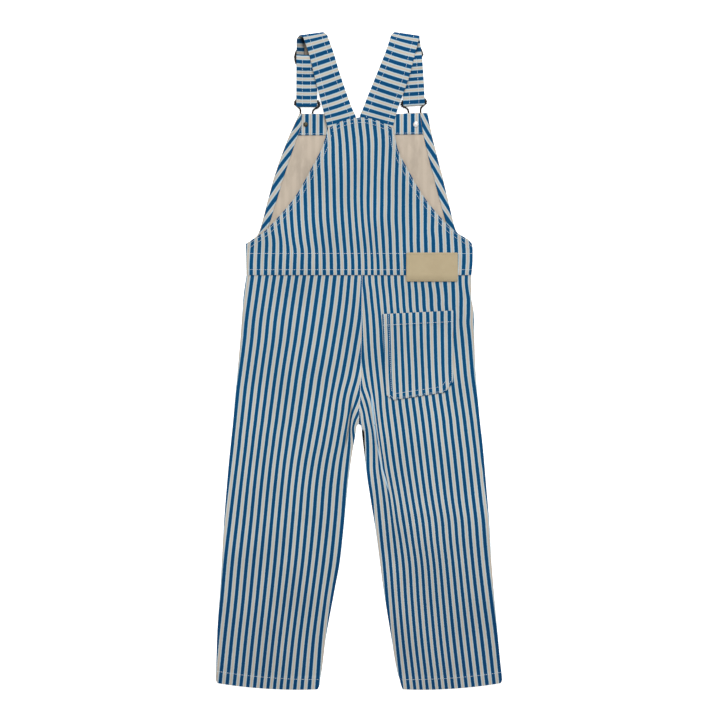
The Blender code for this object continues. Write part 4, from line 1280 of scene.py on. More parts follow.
def wrong_side(cloth):
    """The cloth's back: cream, with the stripes faintly through it."""
    material, tree, shader = new_material("wrong_side")
    grain = add_node(tree, "ShaderNodeUVMap", uv_map="Grain").outputs[0]
    across = add_node(tree, "ShaderNodeSeparateXYZ", {"Vector": grain}).outputs[0]
    away = from_stripe(tree, across, 0.5)
    through = ramp(tree, away, 0.14, 0.36, 0.28, 0.0)
    specks = noise(tree, stretched(tree, grain, (9.0, 7.0, 1.0)), 1.9, 3.0, 0.7)
    place = add_node(tree, "ShaderNodeTexCoord").outputs["Object"]
    clouds = noise(tree, stretched(tree, place, (1.0, 0.35, 1.0)), 75.0, 3.0, 0.6)
    colour = mixed(tree, through, cloth.back_cream, cloth.back_shade)
    colour = mixed(
        tree, ramp(tree, specks, 0.4, 0.7, 0.0, 0.3), colour, cloth.back_shade
    )
    colour = mixed(
        tree, ramp(tree, clouds, 0.45, 0.68, 0.0, 0.65), colour, cloth.back_shade
    )
    # The point attribute darkens the wrong side with painted shade
    tint = add_node(tree, "ShaderNodeAttribute", attribute_name="Tint").outputs["Fac"]
    colour = mixed(tree, 1.0, colour, add_grey(tree, tint), "MULTIPLY")
    looks = {"Base Color": colour, "Roughness": cloth.roughness, "Specular IOR Level": 0.2}
    give(tree, shader, looks)
    return material


def sewing_thread(name, colour):
    material, tree, shader = new_material(name)
    give(tree, shader, {"Base Color": colour, "Roughness": 0.6, "Sheen Weight": 0.1})
    return material


def worn_metal(name, colour, worn, roughness, share, metallic):
    """Metal whose finish has worn through in small patches."""
    material, tree, shader = new_material(name)
    place = add_node(tree, "ShaderNodeTexCoord").outputs["Object"]
    wear = noise(tree, place, 330.0, 4.0, 0.65)
    mix = ramp(tree, wear, 0.62 - share, 0.78 - share)
    looks = {"Base Color": mixed(tree, mix, colour, worn), "Metallic": metallic}
    give(tree, shader, {**looks, "Specular IOR Level": 0.25, "Roughness": roughness})
    return material


def tan_leather(patch):
    """Tan leather with a fine grain and slightly darker edges to its pores."""
    material, tree, shader = new_material("patch_leather")
    place = add_node(tree, "ShaderNodeTexCoord").outputs["Object"]
    cloudy = noise(tree, place, 55.0, 4.0, 0.6)
    fine = noise(tree, place, 900.0, 3.0, 0.6)
    colour = mixed(
        tree, ramp(tree, cloudy, 0.3, 0.7), patch.colour, patch.shade
    )
    colour = mixed(tree, ramp(tree, fine, 0.5, 0.75, 0.0, 0.4), colour, patch.shade)
    pores = add_node(
        tree, "ShaderNodeTexVoronoi", {"Vector": place, "Scale": 700.0}
    ).outputs["Distance"]
    bump = add_node(
        tree, "ShaderNodeBump", {"Strength": 0.3, "Distance": 0.0003, "Height": pores}
    )
    looks = {"Base Color": colour, "Normal": bump.outputs[0], "Roughness": patch.roughness}
    give(tree, shader, {**looks, "Specular IOR Level": 0.3})
    return material


def finish_of(name):
    """A finish by its name, made at its first use."""
    if name in bpy.data.materials:
        return bpy.data.materials[name]
    scene = bpy.context.scene
    cloth, metal, patch = scene.dungarees_cloth, scene.dungarees_metal, scene.dungarees_patch
    makers = {
        "striped_denim": lambda: striped_denim(cloth),
        "wrong_side": lambda: wrong_side(cloth),
        "sewing_thread": lambda: sewing_thread(name, cloth.thread),
        "patch_thread": lambda: sewing_thread(name, patch.thread),
        "patch_leather": lambda: tan_leather(patch),
        "aged_brass_wire": lambda: worn_metal(
            name, metal.brass, metal.worn_brass, metal.brass_roughness, 0.04, 0.5
        ),
        # The two button finishes paint one metal: in shade on the left, with its bright reflection
        # on the right
        "shaded_button_metal": lambda: worn_metal(
            name, metal.shaded_button_metal, metal.brass, metal.brass_roughness, 0.0, 1.0
        ),
        "lit_button_metal": lambda: worn_metal(
            name, metal.silver, metal.dull_lit_button, metal.lit_button_roughness, 0.0, 0.35
        ),
    }
    return makers[name]()


def cloth_finishes():
    return [finish_of("striped_denim"), finish_of("wrong_side")]


# --- Cloth pieces ---


def grain_map(stripe, along):
    return np.stack([stripe, along / 10], axis=-1)


Cut = namedtuple("Cut", "width length area held rests_on")


def make_legs():
    """Two walls for each leg: the striped back, and a plain front under it."""
    grains = {"left": LEFT_LEG_GRAIN, "right": with_halfway_stripe(RIGHT_LEG_GRAIN)}
    for side, grain in grains.items():
        rows = back_leg_rows(side, FINE_CLOTH)
        columns = spread(145.0, FINE_CLOTH, side == "right", side == "left")

        def lift(w, side=side):
            return leg_lift(side, w.x, w.y, np.minimum(w.from_left, w.from_right))

        outer, inner = wall(rows, columns, lift, lambda w, side=side: leg_relief(side, w), True)
        stripe = stripe_at(grain, outer[..., 0], outer[..., 1])
        uv = grain_map(stripe, outer[..., 1])
        tint = leg_painted_light(side, wall_places(rows, columns, 0))
        back = shell_object(f"{side}_back_leg", outer, inner, uv, cloth_finishes(), tint)
        dressed(back, "striped_cloth", f"back_leg_{side}")
        rows = leg_rows(side, PLAIN_CLOTH)
        columns = spread(145.0, PLAIN_CLOTH)
        outer, inner = wall(rows, columns, lambda w: 0.0, None, False)
        edge = outer[:, :1, :] if side == "left" else outer[:, -1:, :]
        stripe = np.hypot(outer[..., 0] - edge[..., 0], outer[..., 1] - edge[..., 1]) / 9.7
        uv = grain_map(stripe, outer[..., 1])
        front = shell_object(f"{side}_front_leg", outer, inner, uv, cloth_finishes())
        dressed(front, "striped_cloth", f"front_leg_{side}")


def make_bibs():
    """The back bib with its turned edges, and the front bib that shows its wrong side."""
    rows = bib_rows(BACK_BIB_SECTIONS, FINE_CLOTH, 1)
    columns = spread(180.0, FINE_CLOTH, True, True)
    outer, inner = wall(rows, columns, back_bib_lift, bib_relief, True)
    uv = grain_map(stripe_at(BACK_BIB_GRAIN, outer[..., 0], outer[..., 1]), outer[..., 1])
    back = shell_object("back_bib_cloth", outer, inner, uv, cloth_finishes())
    dressed(back, "striped_cloth", "back_bib")
    rows = bib_rows(FRONT_BIB_SECTIONS, FINE_CLOTH * 1.5, NECK_POWER)
    columns = spread(200.0, FINE_CLOTH * 1.5)
    outer, inner = wall(rows, columns, lambda w: rise(w.y, FRONT_RISE), None, False)
    uv = grain_map(stripe_at(FRONT_GRAIN, outer[..., 0], outer[..., 1]), outer[..., 1])
    front = shell_object("front_bib_cloth", outer, inner, uv, cloth_finishes())
    dressed(front, "striped_cloth", "front_bib")


def strip_grid(sections, pitch, parts, power=1):
    """Places of a flat strip, in rows from top to bottom and columns at these fractions."""
    rows = []
    for values in filled_in(sections, pitch):
        s = BibSection(*values)
        x = s.left_x + (s.right_x - s.left_x) * parts
        y = s.left_y + (s.right_y - s.left_y) * parts + s.arch * crown(parts) ** power
        rows.append(np.stack([x, y], axis=-1))
    return np.array(rows)


def edge_distances(places):
    """How far each place of a strip is from its sides, its top row and its last row."""
    left, right = places[:, :1], places[:, -1:]
    top, foot = places[:1], places[-1:]
    return [np.linalg.norm(places - edge, axis=-1) for edge in (left, right, top, foot)]


def rounded(distance, cloth, radius=1.0):
    """How far a face falls towards a turned edge."""
    inside = np.clip(distance / radius, 0, 1)
    return -0.45 * cloth * (1 - np.sqrt(1 - (1 - inside) ** 2))


def close_to_ends(count, near=(0.0, 0.006, 0.016, 0.03)):
    """Fractions from 0 to 1 in even steps, with a few more close to both ends."""
    middle = np.linspace(near[-1], 1 - near[-1], count)
    ends = np.array(near[:-1])
    return np.concatenate([ends, middle, 1 - ends[::-1]])


def make_facings():
    """Strips along the front bib's top and sides, sewn to its wrong side."""
    for side, sections in (("left", LEFT_FACING_SECTIONS), ("right", RIGHT_FACING_SECTIONS)):
        parts = close_to_ends(9, (0.0, 0.03, 0.09))
        places = strip_grid(sections, 1.6, parts)
        stripe = stripe_across(SIDE_FACING_STRIPES[side], parts, places[..., 1])
        add_facing(f"{side}_side_facing", f"bib_side_facing_{side}", places, stripe)
    parts = close_to_ends(90)
    places = strip_grid(TOP_FACING_SECTIONS, 1.4, parts, NECK_POWER)
    x, y = places[..., 0], places[..., 1]
    stripe = stripe_at(TOP_FACING_GRAIN, x, y)
    from_strap, _ = nearest_on(edge_of(STRAP_BACKS["left"][:3], "left"), x, y)
    tint = 1 - FACING_SHADE * (1 - ease(from_strap / FACING_SHADE_REACH)) * (x < 0)
    add_facing("top_facing", "bib_top_facing", places, stripe, tint)


def add_facing(name, node, places, stripe, tint=None):
    base = rise(places[..., 1], FRONT_RISE) + CLOTH + GAP
    left, right, top, foot = edge_distances(places)
    fall = rounded(np.minimum.reduce([left, right, top, foot]), FACING_CLOTH)
    upper = np.dstack([places, base + FACING_CLOTH + fall])
    lower = np.dstack([places, base])
    uv = grain_map(stripe, places[..., 1])
    piece = shell_object(name, upper, lower, uv, cloth_finishes(), tint)
    dressed(piece, "striped_cloth", node)


def make_pocket():
    """A patch pocket on the right back leg, with a folded top hem and a pressed edge."""
    parts = close_to_ends(58)
    places = strip_grid(POCKET_SECTIONS, 1.5, parts)
    x, y = places[..., 0], places[..., 1]
    base = LEG_DEPTH + leg_lift("right", x, y, np.full(x.shape, PUFF_FADE)) + GAP
    left, right, top, foot = edge_distances(places)
    sides = np.minimum.reduce([left, right, foot])
    cloth = CLOTH + (POCKET_HEM_CLOTH - CLOTH) * band(top, POCKET_HEM_DROP)
    face = cloth + rounded(np.minimum(sides, top), CLOTH)
    face = face + sum(groove(sides - row) for row in POCKET_ROWS)
    face = face + BAND_RAISE * band(sides, POCKET_ROWS[1] + 1.0) * (1 - band(top, POCKET_HEM_DROP))
    face = face + groove(top - POCKET_HEM_ROW)
    upper = np.dstack([places, base + face])
    lower = np.dstack([places, base])
    uv = grain_map(stripe_at(POCKET_GRAIN, x, y), y)
    # Painted highlight along the pocket's right edge, fading out below about 32 mm
    tint = 1 + 0.3 * band(right, 1.4, 0.4) * ease((y - 32) / 12)
    pocket = shell_object("pocket_cloth", upper, lower, uv, cloth_finishes(), tint)
    dressed(pocket, "striped_cloth", "back_pocket")


def make_patch():
    """A bare leather patch across the waist seam, with rounded corners."""
    columns = np.linspace(0, 1, PATCH_POINTS[0])
    levels = np.linspace(0, 1, PATCH_POINTS[1])
    half_w, half_h = (PATCH_RIGHT - PATCH_LEFT) / 2, (PATCH_TOP - PATCH_FOOT) / 2
    x = np.tile((columns * 2 - 1) * half_w, (len(levels), 1))
    y = np.tile(((1 - levels) * 2 - 1)[:, None] * half_h, (1, len(columns)))
    over_x = np.maximum(np.abs(x) - (half_w - PATCH_CORNER), 0)
    over_y = np.maximum(np.abs(y) - (half_h - PATCH_CORNER), 0)
    reach = np.hypot(over_x, over_y)
    largest = np.maximum(over_x, over_y)
    pull = np.where(reach > 1e-9, largest / np.maximum(reach, 1e-9), 1.0)
    x_in = np.sign(x) * (np.abs(x) - over_x * (1 - pull))
    y_in = np.sign(y) * (np.abs(y) - over_y * (1 - pull))
    inset = np.minimum(half_w - np.abs(x), half_h - np.abs(y))
    places = np.dstack(
        [x_in + (PATCH_LEFT + PATCH_RIGHT) / 2, y_in + (PATCH_TOP + PATCH_FOOT) / 2]
    )
    base = BIB_DEPTH + GAP - PATCH_DROP * ease((WAIST_Y - places[..., 1]) / PATCH_FALL)
    fall = rounded(inset, PATCH_LEATHER, 1.2) + groove(inset - PATCH_ROW) * 0.8
    upper = np.dstack([places, base + PATCH_LEATHER + fall + BAND_RAISE])
    lower = np.dstack([places, base + BAND_RAISE])
    uv = grain_map(places[..., 0] / 10, places[..., 1])
    leather = finish_of("patch_leather")
    patch = shell_object("leather_patch", upper, lower, uv, [leather, leather])
    dressed(patch, "tan_leather", "waist_patch")


# --- Straps ---


def leaning(degrees):
    """The directions up and across something that leans to the left by an angle."""
    lean = math.radians(degrees)
    up = np.array((-math.sin(lean), math.cos(lean)))
    return up, np.array((up[1], -up[0]))


def drop_axes(side):
    """The lower end of a strap's front part, and the directions up it and across it."""
    drop = DROPS[side]
    return np.array((drop.foot_x, drop.foot_y)), *leaning(drop.lean)


def drop_row(side, up, height):
    """The two ends of a row of the strap's front part, as points in space."""
    foot, upwards, across = drop_axes(side)
    middle = foot + upwards * up + across * DROP_BOWS[side] * crown(min(up / MAIN_TOP, 1.0))
    widening = float(ease(up / FOOT_TAPER))
    reach = across * (STRAP_HALF_WIDTHS[side] - FOOT_NARROWING * (1 - widening))
    return np.array([(*(middle - reach), height), (*(middle + reach), height)])


def turned_rows(side, up, height, radius, first, last):
    """Rows round a bar at this place, between two angles from the strap's direction."""
    rows = []
    for angle in np.radians(np.linspace(first, last, FOLD_STEPS + 1)):
        shift = up + radius * math.cos(angle)
        rows.append(drop_row(side, shift, height + radius * math.sin(angle)))
    return rows


def shoulder_fold(upper, lower):
    """Rows round the shoulder fold, from the strap's upper row to its lower one."""
    rows = []
    radius = (upper[0][2] - lower[0][2]) / 2
    for part in np.arange(1, FOLD_STEPS) / FOLD_STEPS:
        row = upper + (lower - upper) * part
        along = row[1][:2] - row[0][:2]
        outwards = np.array((-along[1], along[0])) / np.linalg.norm(along)
        row[:, :2] += outwards * radius * math.sin(math.pi * part)
        row[:, 2] = lower[0][2] + radius * (1 + math.cos(math.pi * part))
        rows.append(row)
    return rows


def steps_between(start, end):
    return np.linspace(start, end, max(2, round(abs(end - start) / STRAP_GRID) + 1))


def strap_parts(side):
    """A strap's rows, from its sewn end on the back to its end under the slide."""
    back = []
    for values in filled_in(STRAP_BACKS[side], STRAP_GRID):
        s = StrapSection(*values)
        back.append(np.array([(s.left_x, s.left_y, s.height), (s.right_x, s.right_y, s.height)]))
    d = DROPS[side]
    lower = np.array(
        [(d.top_left_x, d.top_left_y, FOLD_HEIGHT), (d.top_right_x, d.top_right_y, FOLD_HEIGHT)]
    )
    fold = shoulder_fold(back[-1], lower) + [lower]
    main_ups = steps_between(MAIN_TOP, MAIN_FOOT)
    main = [drop_row(side, up, eased(MAIN_HEIGHTS, up)) for up in main_ups]
    foot = turned_rows(side, BAR_TURN + STRAP_CLOTH / 2, CLIP_HEIGHT, BAR_TURN, 270, 90)
    return_ups = steps_between(RETURN_FOOT, RETURN_TOP)
    returned = [drop_row(side, up, eased(RETURN_HEIGHTS, up)) for up in return_ups]
    bar = turned_rows(side, SLIDE_UPS[side], SLIDE_BAR_HEIGHT, SLIDE_TURN, 90, -90)
    tail = [drop_row(side, up, TAIL_HEIGHT) for up in steps_between(TAIL_TOP, TAIL_FOOT)]
    return back, fold, main, foot, returned, bar + tail


def lengths_to(points):
    """How far along the line through these points each of them is."""
    steps = np.linalg.norm(np.diff(points, axis=0), axis=1)
    return np.concatenate([[0], np.cumsum(steps)])


def lengths_along(rows):
    """How far each row's middle is along the strap from the first row."""
    return lengths_to(np.mean(rows, axis=1))


def strap_stripes(side, parts_of_strap, across):
    """Which stripe runs through each place of a strap, followed from end to end."""
    back, fold, main, foot, returned, end = parts_of_strap
    places = np.array([row[0] + (row[1] - row[0]) * across[:, None] for row in back])
    on_back = -stripe_across(STRAP_STRIPES[side], across, places[..., 1])
    at_top = on_back[-1]
    known = DROP_STRIPES[side]
    to_first = (DROPS[side].top_left_y - known.main[0]) / STRAP_PITCH
    first = round(at_top.mean() + FOLD_TURNS + to_first)
    last_main = first + len(known.main) - 1
    foot_turns = lengths_along([main[-1], *foot, returned[0]])
    foot_y, return_y = main[-1][:, 1].mean(), returned[0][:, 1].mean()
    at_return = (return_y - known.back_up[0]) / STRAP_PITCH
    to_foot = foot_turns[-1] / STRAP_PITCH - at_return
    first_up = round(last_main + (known.main[-1] - foot_y) / STRAP_PITCH + to_foot)
    heights = [known.main[0] + STRAP_PITCH, *known.main, foot_y]
    numbers = [first - 1, *range(first, last_main + 1), first_up - to_foot]
    on_main = np.interp([-row[:, 1].mean() for row in main], np.negative(heights), numbers)
    fold_end = np.interp(-DROPS[side].top_left_y, np.negative(heights), numbers)
    half = len(fold) // 2
    over = np.array([row[0] + (row[1] - row[0]) * across[:, None] for row in fold[:half]])
    on_top = -stripe_across(STRAP_STRIPES[side], across, over[..., 1])
    share = (np.arange(len(fold) - half) + 1)[:, None] / (len(fold) - half)
    on_fold = np.concatenate([on_top, on_top[-1] * (1 - share) + fold_end * share])
    on_foot = on_main[-1] + foot_turns[1:-1] / STRAP_PITCH
    up_heights = [known.back_up[0] - STRAP_PITCH, *known.back_up, known.back_up[-1] + STRAP_PITCH]
    up_numbers = first_up - 1 + np.arange(len(up_heights))
    on_return = np.interp([row[:, 1].mean() for row in returned], up_heights, up_numbers)
    on_end = on_return[-1] + lengths_along([returned[-1], *end])[1:] / STRAP_PITCH
    level = np.concatenate([on_main, on_foot, on_return, on_end])[:, None]
    bows = [-1] * len(main) + [0] * len(foot) + [1] * (len(returned) + len(end))
    bow = np.array(bows)[:, None] * DROP_SAGS[side] / STRAP_PITCH * crown(across)
    return np.concatenate([on_back, on_fold, level + bow])


def strap_painted_shade(side, parts_of_strap, across):
    """Painted shade on the inner face of the strap's front part, and inside the left loop, where
    that face takes the wrong-side cloth.
    """
    rows = np.array([row for part in parts_of_strap for row in part])
    places = rows[:, :1] + (rows[:, 1:] - rows[:, :1]) * across[None, :, None]
    x, y = places[..., 0], places[..., 1]
    edge = edge_of(STRAP_BACKS[side], side)
    depth, reach = BACK_SHADES[side]
    shade = 1 - depth * (1 - ease(nearest_on(edge, x, y)[0] / reach))
    spot_x, spot_y = LOOP_SPOTS[side]
    spot = np.exp(-(((x - spot_x) ** 2 + (y - spot_y) ** 2) / LOOP_SPOT_REACH**2))
    shade = shade - LOOP_SHADES[side] * ease((y - LOOP_FOOT_Y) / LOOP_FADE)
    shade = shade - LOOP_SPOT_SHADE * spot
    counts = np.cumsum([len(part) for part in parts_of_strap])
    under = np.arange(len(rows))[:, None] >= counts[1] - FOLD_STEPS // 3
    in_shaded_loop = under & (side == "left") & (x > LOOP_INSIDE_X) & (y > LOOP_INSIDE_FOOT_Y)
    at_edge = np.exp(-(((x - LOOP_INSIDE_X) / LOOP_INSIDE_EDGE_REACH) ** 2))
    loop_inside_shade = LOOP_INSIDE_SHADE * (1 - LOOP_INSIDE_EDGE_SHADE * at_edge)
    shade = np.where(in_shaded_loop, loop_inside_shade, np.clip(shade, DARKEST_LOOP, 1))
    tint = np.where(under, shade, 1.0)
    return np.stack([np.ones_like(tint), tint]), in_shaded_loop


def ribbon(parts_of_strap):
    """A strap's rows, the direction out of the cloth at each of them, and their widths."""
    rows = np.array([row for part in parts_of_strap for row in part])
    out = np.cross(rows[:, 1] - rows[:, 0], np.gradient(rows.mean(axis=1), axis=0))
    out /= np.linalg.norm(out, axis=1)[:, None]
    return rows, out, np.linalg.norm(rows[:, 1] - rows[:, 0], axis=1)


def strap_faces(parts_of_strap, across):
    """The upper and lower faces of a strap's ribbon, with rounded edges and stitch rows."""
    rows, out, width = ribbon(parts_of_strap)
    from_edge = np.minimum(across, 1 - across)[None, :] * width[:, None]
    inside = np.clip(from_edge / STRAP_EDGE, 0, 1)
    half = STRAP_CLOTH / 2 * (0.35 + 0.65 * np.sqrt(1 - (1 - inside) ** 2))
    half = half + groove(from_edge - STRAP_GROOVE) * 0.7
    places = rows[:, :1] + (rows[:, 1:] - rows[:, :1]) * across[None, :, None]
    return places + out[:, None] * half[..., None], places - out[:, None] * half[..., None]


def make_straps():
    """Each strap is one folded ribbon with its cloth on each side of its rows."""
    across = close_to_ends(STRAP_COLUMNS, (0.0, 0.008, 0.018, 0.035))
    for side in ("left", "right"):
        parts = strap_parts(side)
        upper, lower = strap_faces(parts, across)
        stripe = strap_stripes(side, parts, across)
        uv = np.stack([stripe, np.tile(across * 3.2, (len(stripe), 1))], axis=-1)
        tint, painted_shade_faces = strap_painted_shade(side, parts, across)
        # The third finish, the wrong-side cloth, carries painted shade inside the left strap's loop
        denim, plain = cloth_finishes()
        finishes = [denim, denim, plain]
        strap = shell_object(f"{side}_strap_cloth", upper, lower, uv, finishes, tint, painted_shade_faces)
        dressed(strap, "striped_cloth", f"strap_{side}")


# --- Metal ---


def arc(centre, radius, first, last, steps):
    angles = np.radians(np.linspace(first, last, steps + 1))
    return [
        (centre[0] + radius * math.cos(a), centre[1] + radius * math.sin(a)) for a in angles
    ]


def smoothed(line, steps):
    """A closed line with smooth turns through its points."""
    line = np.array(line, float)
    count = len(line)
    made = []
    for i in range(count):
        before, start, end, after = (line[(i + j) % count] for j in (-1, 0, 1, 2))
        for t in np.arange(steps) / steps:
            made.append(cubic(start, end, (end - before) / 2, (after - start) / 2, t))
    return [tuple(p) for p in made]


def wire_piece(name, lines, radius, slot, *nodes):
    values = {"Radius": radius * MM, "Sides": 14, "Metal": finish_of("aged_brass_wire")}
    return dressed(grown(name, lines, wire_tree, values), slot, *nodes)


def make_clips():
    """One closed wire each, which hooks the button's neck and carries the strap."""
    wire = bpy.context.scene.dungarees_metal.clip_wire / MM
    half = arc((0, 0), CLIP_LOOP, -67.5, 0, 3) + [(p.across, p.up) for p in CLIP_SIDE]
    outline = [(0, -CLIP_LOOP)] + half + [(0, CLIP_SIDE[-1].up)]
    outline += [(-a, b) for a, b in reversed(half)]
    for side, lean in CLIP_LEANS.items():
        up, across = leaning(lean)
        middle = np.array(BUTTON_CENTRES[side])
        stretch = CLIP_STRETCHES[side]

        def placed(points):
            moved = [(a, b + stretch * float(ease(b / 22))) for a, b in points]
            return [(*(middle + across * a + up * b), CLIP_HEIGHT) for a, b in moved]

        path = placed(smoothed(outline, 6))
        wire_piece(f"{side}_clip_wire", [path + path[:1]], wire, "aged_brass", f"clip_{side}")
        collars = []
        for hand in (-1, 1):
            is_inner = (hand > 0) == (side == "left")
            bend = INNER_SHOULDER if is_inner else OUTER_SHOULDER
            shoulder = placed([(a * hand, b) for a, b in bend])
            collars.append(wound(shoulder, wire + COLLAR_WIRE * COLLAR_STAND, COLLAR_TURNS))
        wire_piece(f"{side}_clip_collars", collars, COLLAR_WIRE, "aged_brass", f"clip_{side}")


def wound(path, radius, turns):
    """A helix round a level path, as points in space."""
    path = closely(path, 0.2)
    ways = np.gradient(path, axis=0)
    ways /= np.linalg.norm(ways, axis=1)[:, None]
    aside = np.stack([ways[:, 1], -ways[:, 0], 0 * ways[:, 0]], axis=-1)
    angles = np.linspace(0, turns * math.tau, len(path))[:, None]
    return path + radius * (aside * np.cos(angles) + np.array((0, 0, 1.0)) * np.sin(angles))


def slide_lines(side):
    """The slide's flat frame and the bar that rises from it, as lines of points."""
    foot, up, across = drop_axes(side)
    middle = foot + up * SLIDE_UPS[side]
    wide = SLIDE_HALF_WIDTH - SLIDE_BOW - SLIDE_CORNER
    long = SLIDE_HALF_LENGTH - SLIDE_CORNER
    outline = []
    for turn, (x, y) in enumerate(((1, 1), (-1, 1), (-1, -1), (1, -1))):
        outline += arc((x * wide, y * long), SLIDE_CORNER, 90 * turn, 90 * (turn + 1), 6)
    ring = []
    for a, b in closely(outline + outline[:1]):
        bow = SLIDE_BOW * (1 - (b / SLIDE_HALF_LENGTH) ** 2) * a / wide
        bow -= SLIDE_TUCKS[side] * float(ease(-b / 3.0)) * a / wide
        ring.append((*(middle + across * (a + bow) + up * b), SLIDE_WIRE))
    corner = (SLIDE_BEND - SLIDE_HALF_WIDTH, SLIDE_BAR_HEIGHT - SLIDE_BEND)
    rising = [(-SLIDE_HALF_WIDTH, SLIDE_WIRE)] + arc(corner, SLIDE_BEND, 180, 90, 8)
    profile = rising + [(-a, z) for a, z in reversed(rising)]
    bar = [(*(middle + across * a), z) for a, z in profile]
    return ring, bar, middle, across


def make_slides():
    """A wire frame on the surface, its raised bar, and a knob where each bar end turns up."""
    for side in ("left", "right"):
        ring, bar, middle, across = slide_lines(side)
        wire_piece(f"{side}_slide_wire", [ring, bar], SLIDE_WIRE, "aged_brass", f"slide_{side}")
        for hand, label in ((-1, "outer"), (1, "inner")):
            centre = middle + across * hand * (SLIDE_HALF_WIDTH + SLIDE_KNOB_OUT)
            turned = [
                (SLIDE_KNOB * math.sin(a), SLIDE_KNOB_HEIGHT - SLIDE_KNOB * math.cos(a))
                for a in np.linspace(0, math.pi, 13)
            ]
            knob = turned_piece(
                f"{side}_slide_knob_{label}", centre, turned, 20, finish_of("aged_brass_wire")
            )
            dressed(knob, "aged_brass", f"slide_{side}")


def turned_piece(name, centre, profile, sides, material):
    """A solid that a half profile makes when it goes round an upright axis."""
    ring = profile[1:-1]
    points = [(*centre, profile[0][1]), (*centre, profile[-1][1])]
    for angle in math.tau * np.arange(sides) / sides:
        cos, sin = math.cos(angle), math.sin(angle)
        points += [(centre[0] + r * cos, centre[1] + r * sin, z) for r, z in ring]
    faces, count = [], len(ring)
    for i in range(sides):
        a, b = 2 + i * count, 2 + (i + 1) % sides * count
        faces += [(0, b, a), (1, a + count - 1, b + count - 1)]
        faces += [(a + j, b + j, b + j + 1, a + j + 1) for j in range(count - 1)]
    return plain_object(name, points, faces, material)


def make_buttons():
    """Two buttons, cap down, with their riveted backs on the facing. The backs are one metal: the
    left finish paints it in shade, the right finish paints a bright reflection on it.
    """
    for side, finish, slot in (
        ("left", "shaded_button_metal", "aged_brass"),
        ("right", "lit_button_metal", "silver"),
    ):
        share = RIVET_SHARES[side]
        profile = [
            (r * share if z > RIVET_FROM and r > BUTTON_NECK else r, z) for r, z in BUTTON_PROFILE
        ]
        centre, metal = BUTTON_CENTRES[side], finish_of(finish)
        button = turned_piece(f"{side}_button_metal", centre, profile, BUTTON_SIDES, metal)
        dressed(button, slot, f"button_{side}")


# --- Sewing ---


def beside(line, distance):
    """A line moved sideways to its right."""
    line = np.array(line, float)
    ways = np.gradient(line, axis=0)
    ways /= np.linalg.norm(ways, axis=1)[:, None]
    return line + distance * np.stack([ways[:, 1], -ways[:, 0]], axis=-1)


def closely(line, pitch=0.8):
    """The same line with points a short pitch apart."""
    line = np.array(line, float)
    places = lengths_to(line)
    wanted = np.linspace(0, places[-1], max(2, round(places[-1] / pitch)))
    return np.stack([np.interp(wanted, places, line[:, i]) for i in range(line.shape[1])], -1)


def surface_of(name):
    """A search tree over the faces of a piece, in millimetres."""
    mesh = bpy.data.objects[name].data
    points = [v.co / MM for v in mesh.vertices]
    return BVHTree.FromPolygons(points, [tuple(face.vertices) for face in mesh.polygons])


def laid_on(surface, line):
    """A line dropped onto the faces below it. It is left out where nothing is there."""
    made = []
    for x, y in closely(line):
        hit = surface.ray_cast(Vector((x, y, 40.0)), Vector((0, 0, -1)))[0]
        if hit is not None:
            made.append((x, y, hit.z + STITCH_LIFT))
    return made


def bib_lines():
    lines = []
    for row in EDGE_ROWS:
        left = beside(armhole_edge("left"), -row)
        right = beside(armhole_edge("right"), row)
        top = beside(top_edge(), row)
        lines += [edge[edge[:, 1] < BIB_ROW_TOP_Y - row] for edge in (left, right)]
        lines.append(top[np.abs(top[:, 0] - BIB_TOP_X) < BIB_TOP_REACH - row])
    return lines + [[(x, y) for x in WAIST_ROW_ENDS] for y in WAIST_ROWS]


def pocket_lines():
    """Two rows inside the pocket's sides and foot, and one along its top hem."""
    outline = edge_of(POCKET_SECTIONS, "left") + edge_of(POCKET_SECTIONS, "right")[::-1]
    corners = [outline[0], outline[5], outline[6], outline[7], outline[8], outline[-1]]
    middle = np.mean(corners, axis=0)
    lines = [inset_line(corners, row, middle) for row in POCKET_ROWS]
    (x0, y0), (x1, y1) = corners[0], corners[-1]
    lines.append([(x0 + 1.5, y0 - POCKET_HEM_ROW), (x1 - 1.0, y1 - POCKET_HEM_ROW)])
    return lines


def inset_line(corners, distance, middle):
    """A line inside an open outline, at a distance from each of its sides."""
    sides = []
    for start, end in zip(corners, corners[1:]):
        start, way = np.array(start), np.subtract(end, start)
        way = way / np.linalg.norm(way)
        across = np.array((-way[1], way[0]))
        across *= np.sign(np.dot(middle - start, across))
        sides.append((start + across * distance, way))
    made = [sides[0][0]]
    for (a, u), (b, v) in zip(sides, sides[1:]):
        t = np.linalg.solve(np.array([u, -v]).T, b - a)[0]
        made.append(a + u * t)
    last, way = sides[-1]
    made.append(last + way * np.dot(np.array(corners[-1]) - last, way))
    return made


def patch_lines():
    """A row along the patch's top and one along its foot."""
    x0, x1 = PATCH_LEFT + PATCH_ROW, PATCH_RIGHT - PATCH_ROW
    return [[(x0, y), (x1, y)] for y in (PATCH_FOOT + PATCH_ROW, PATCH_TOP - PATCH_ROW)]


def facing_lines():
    """One row along the free edge of the top facing."""
    foot = TOP_FACING_SECTIONS[-1]
    parts = np.linspace(0.0, 1.0, 13)
    xs = foot.left_x + 1 + (foot.right_x - foot.left_x - 2) * parts
    ys = foot.left_y + 1.8 + (foot.right_y - foot.left_y) * parts
    return [list(zip(xs, ys + foot.arch * crown(parts) ** NECK_POWER))]


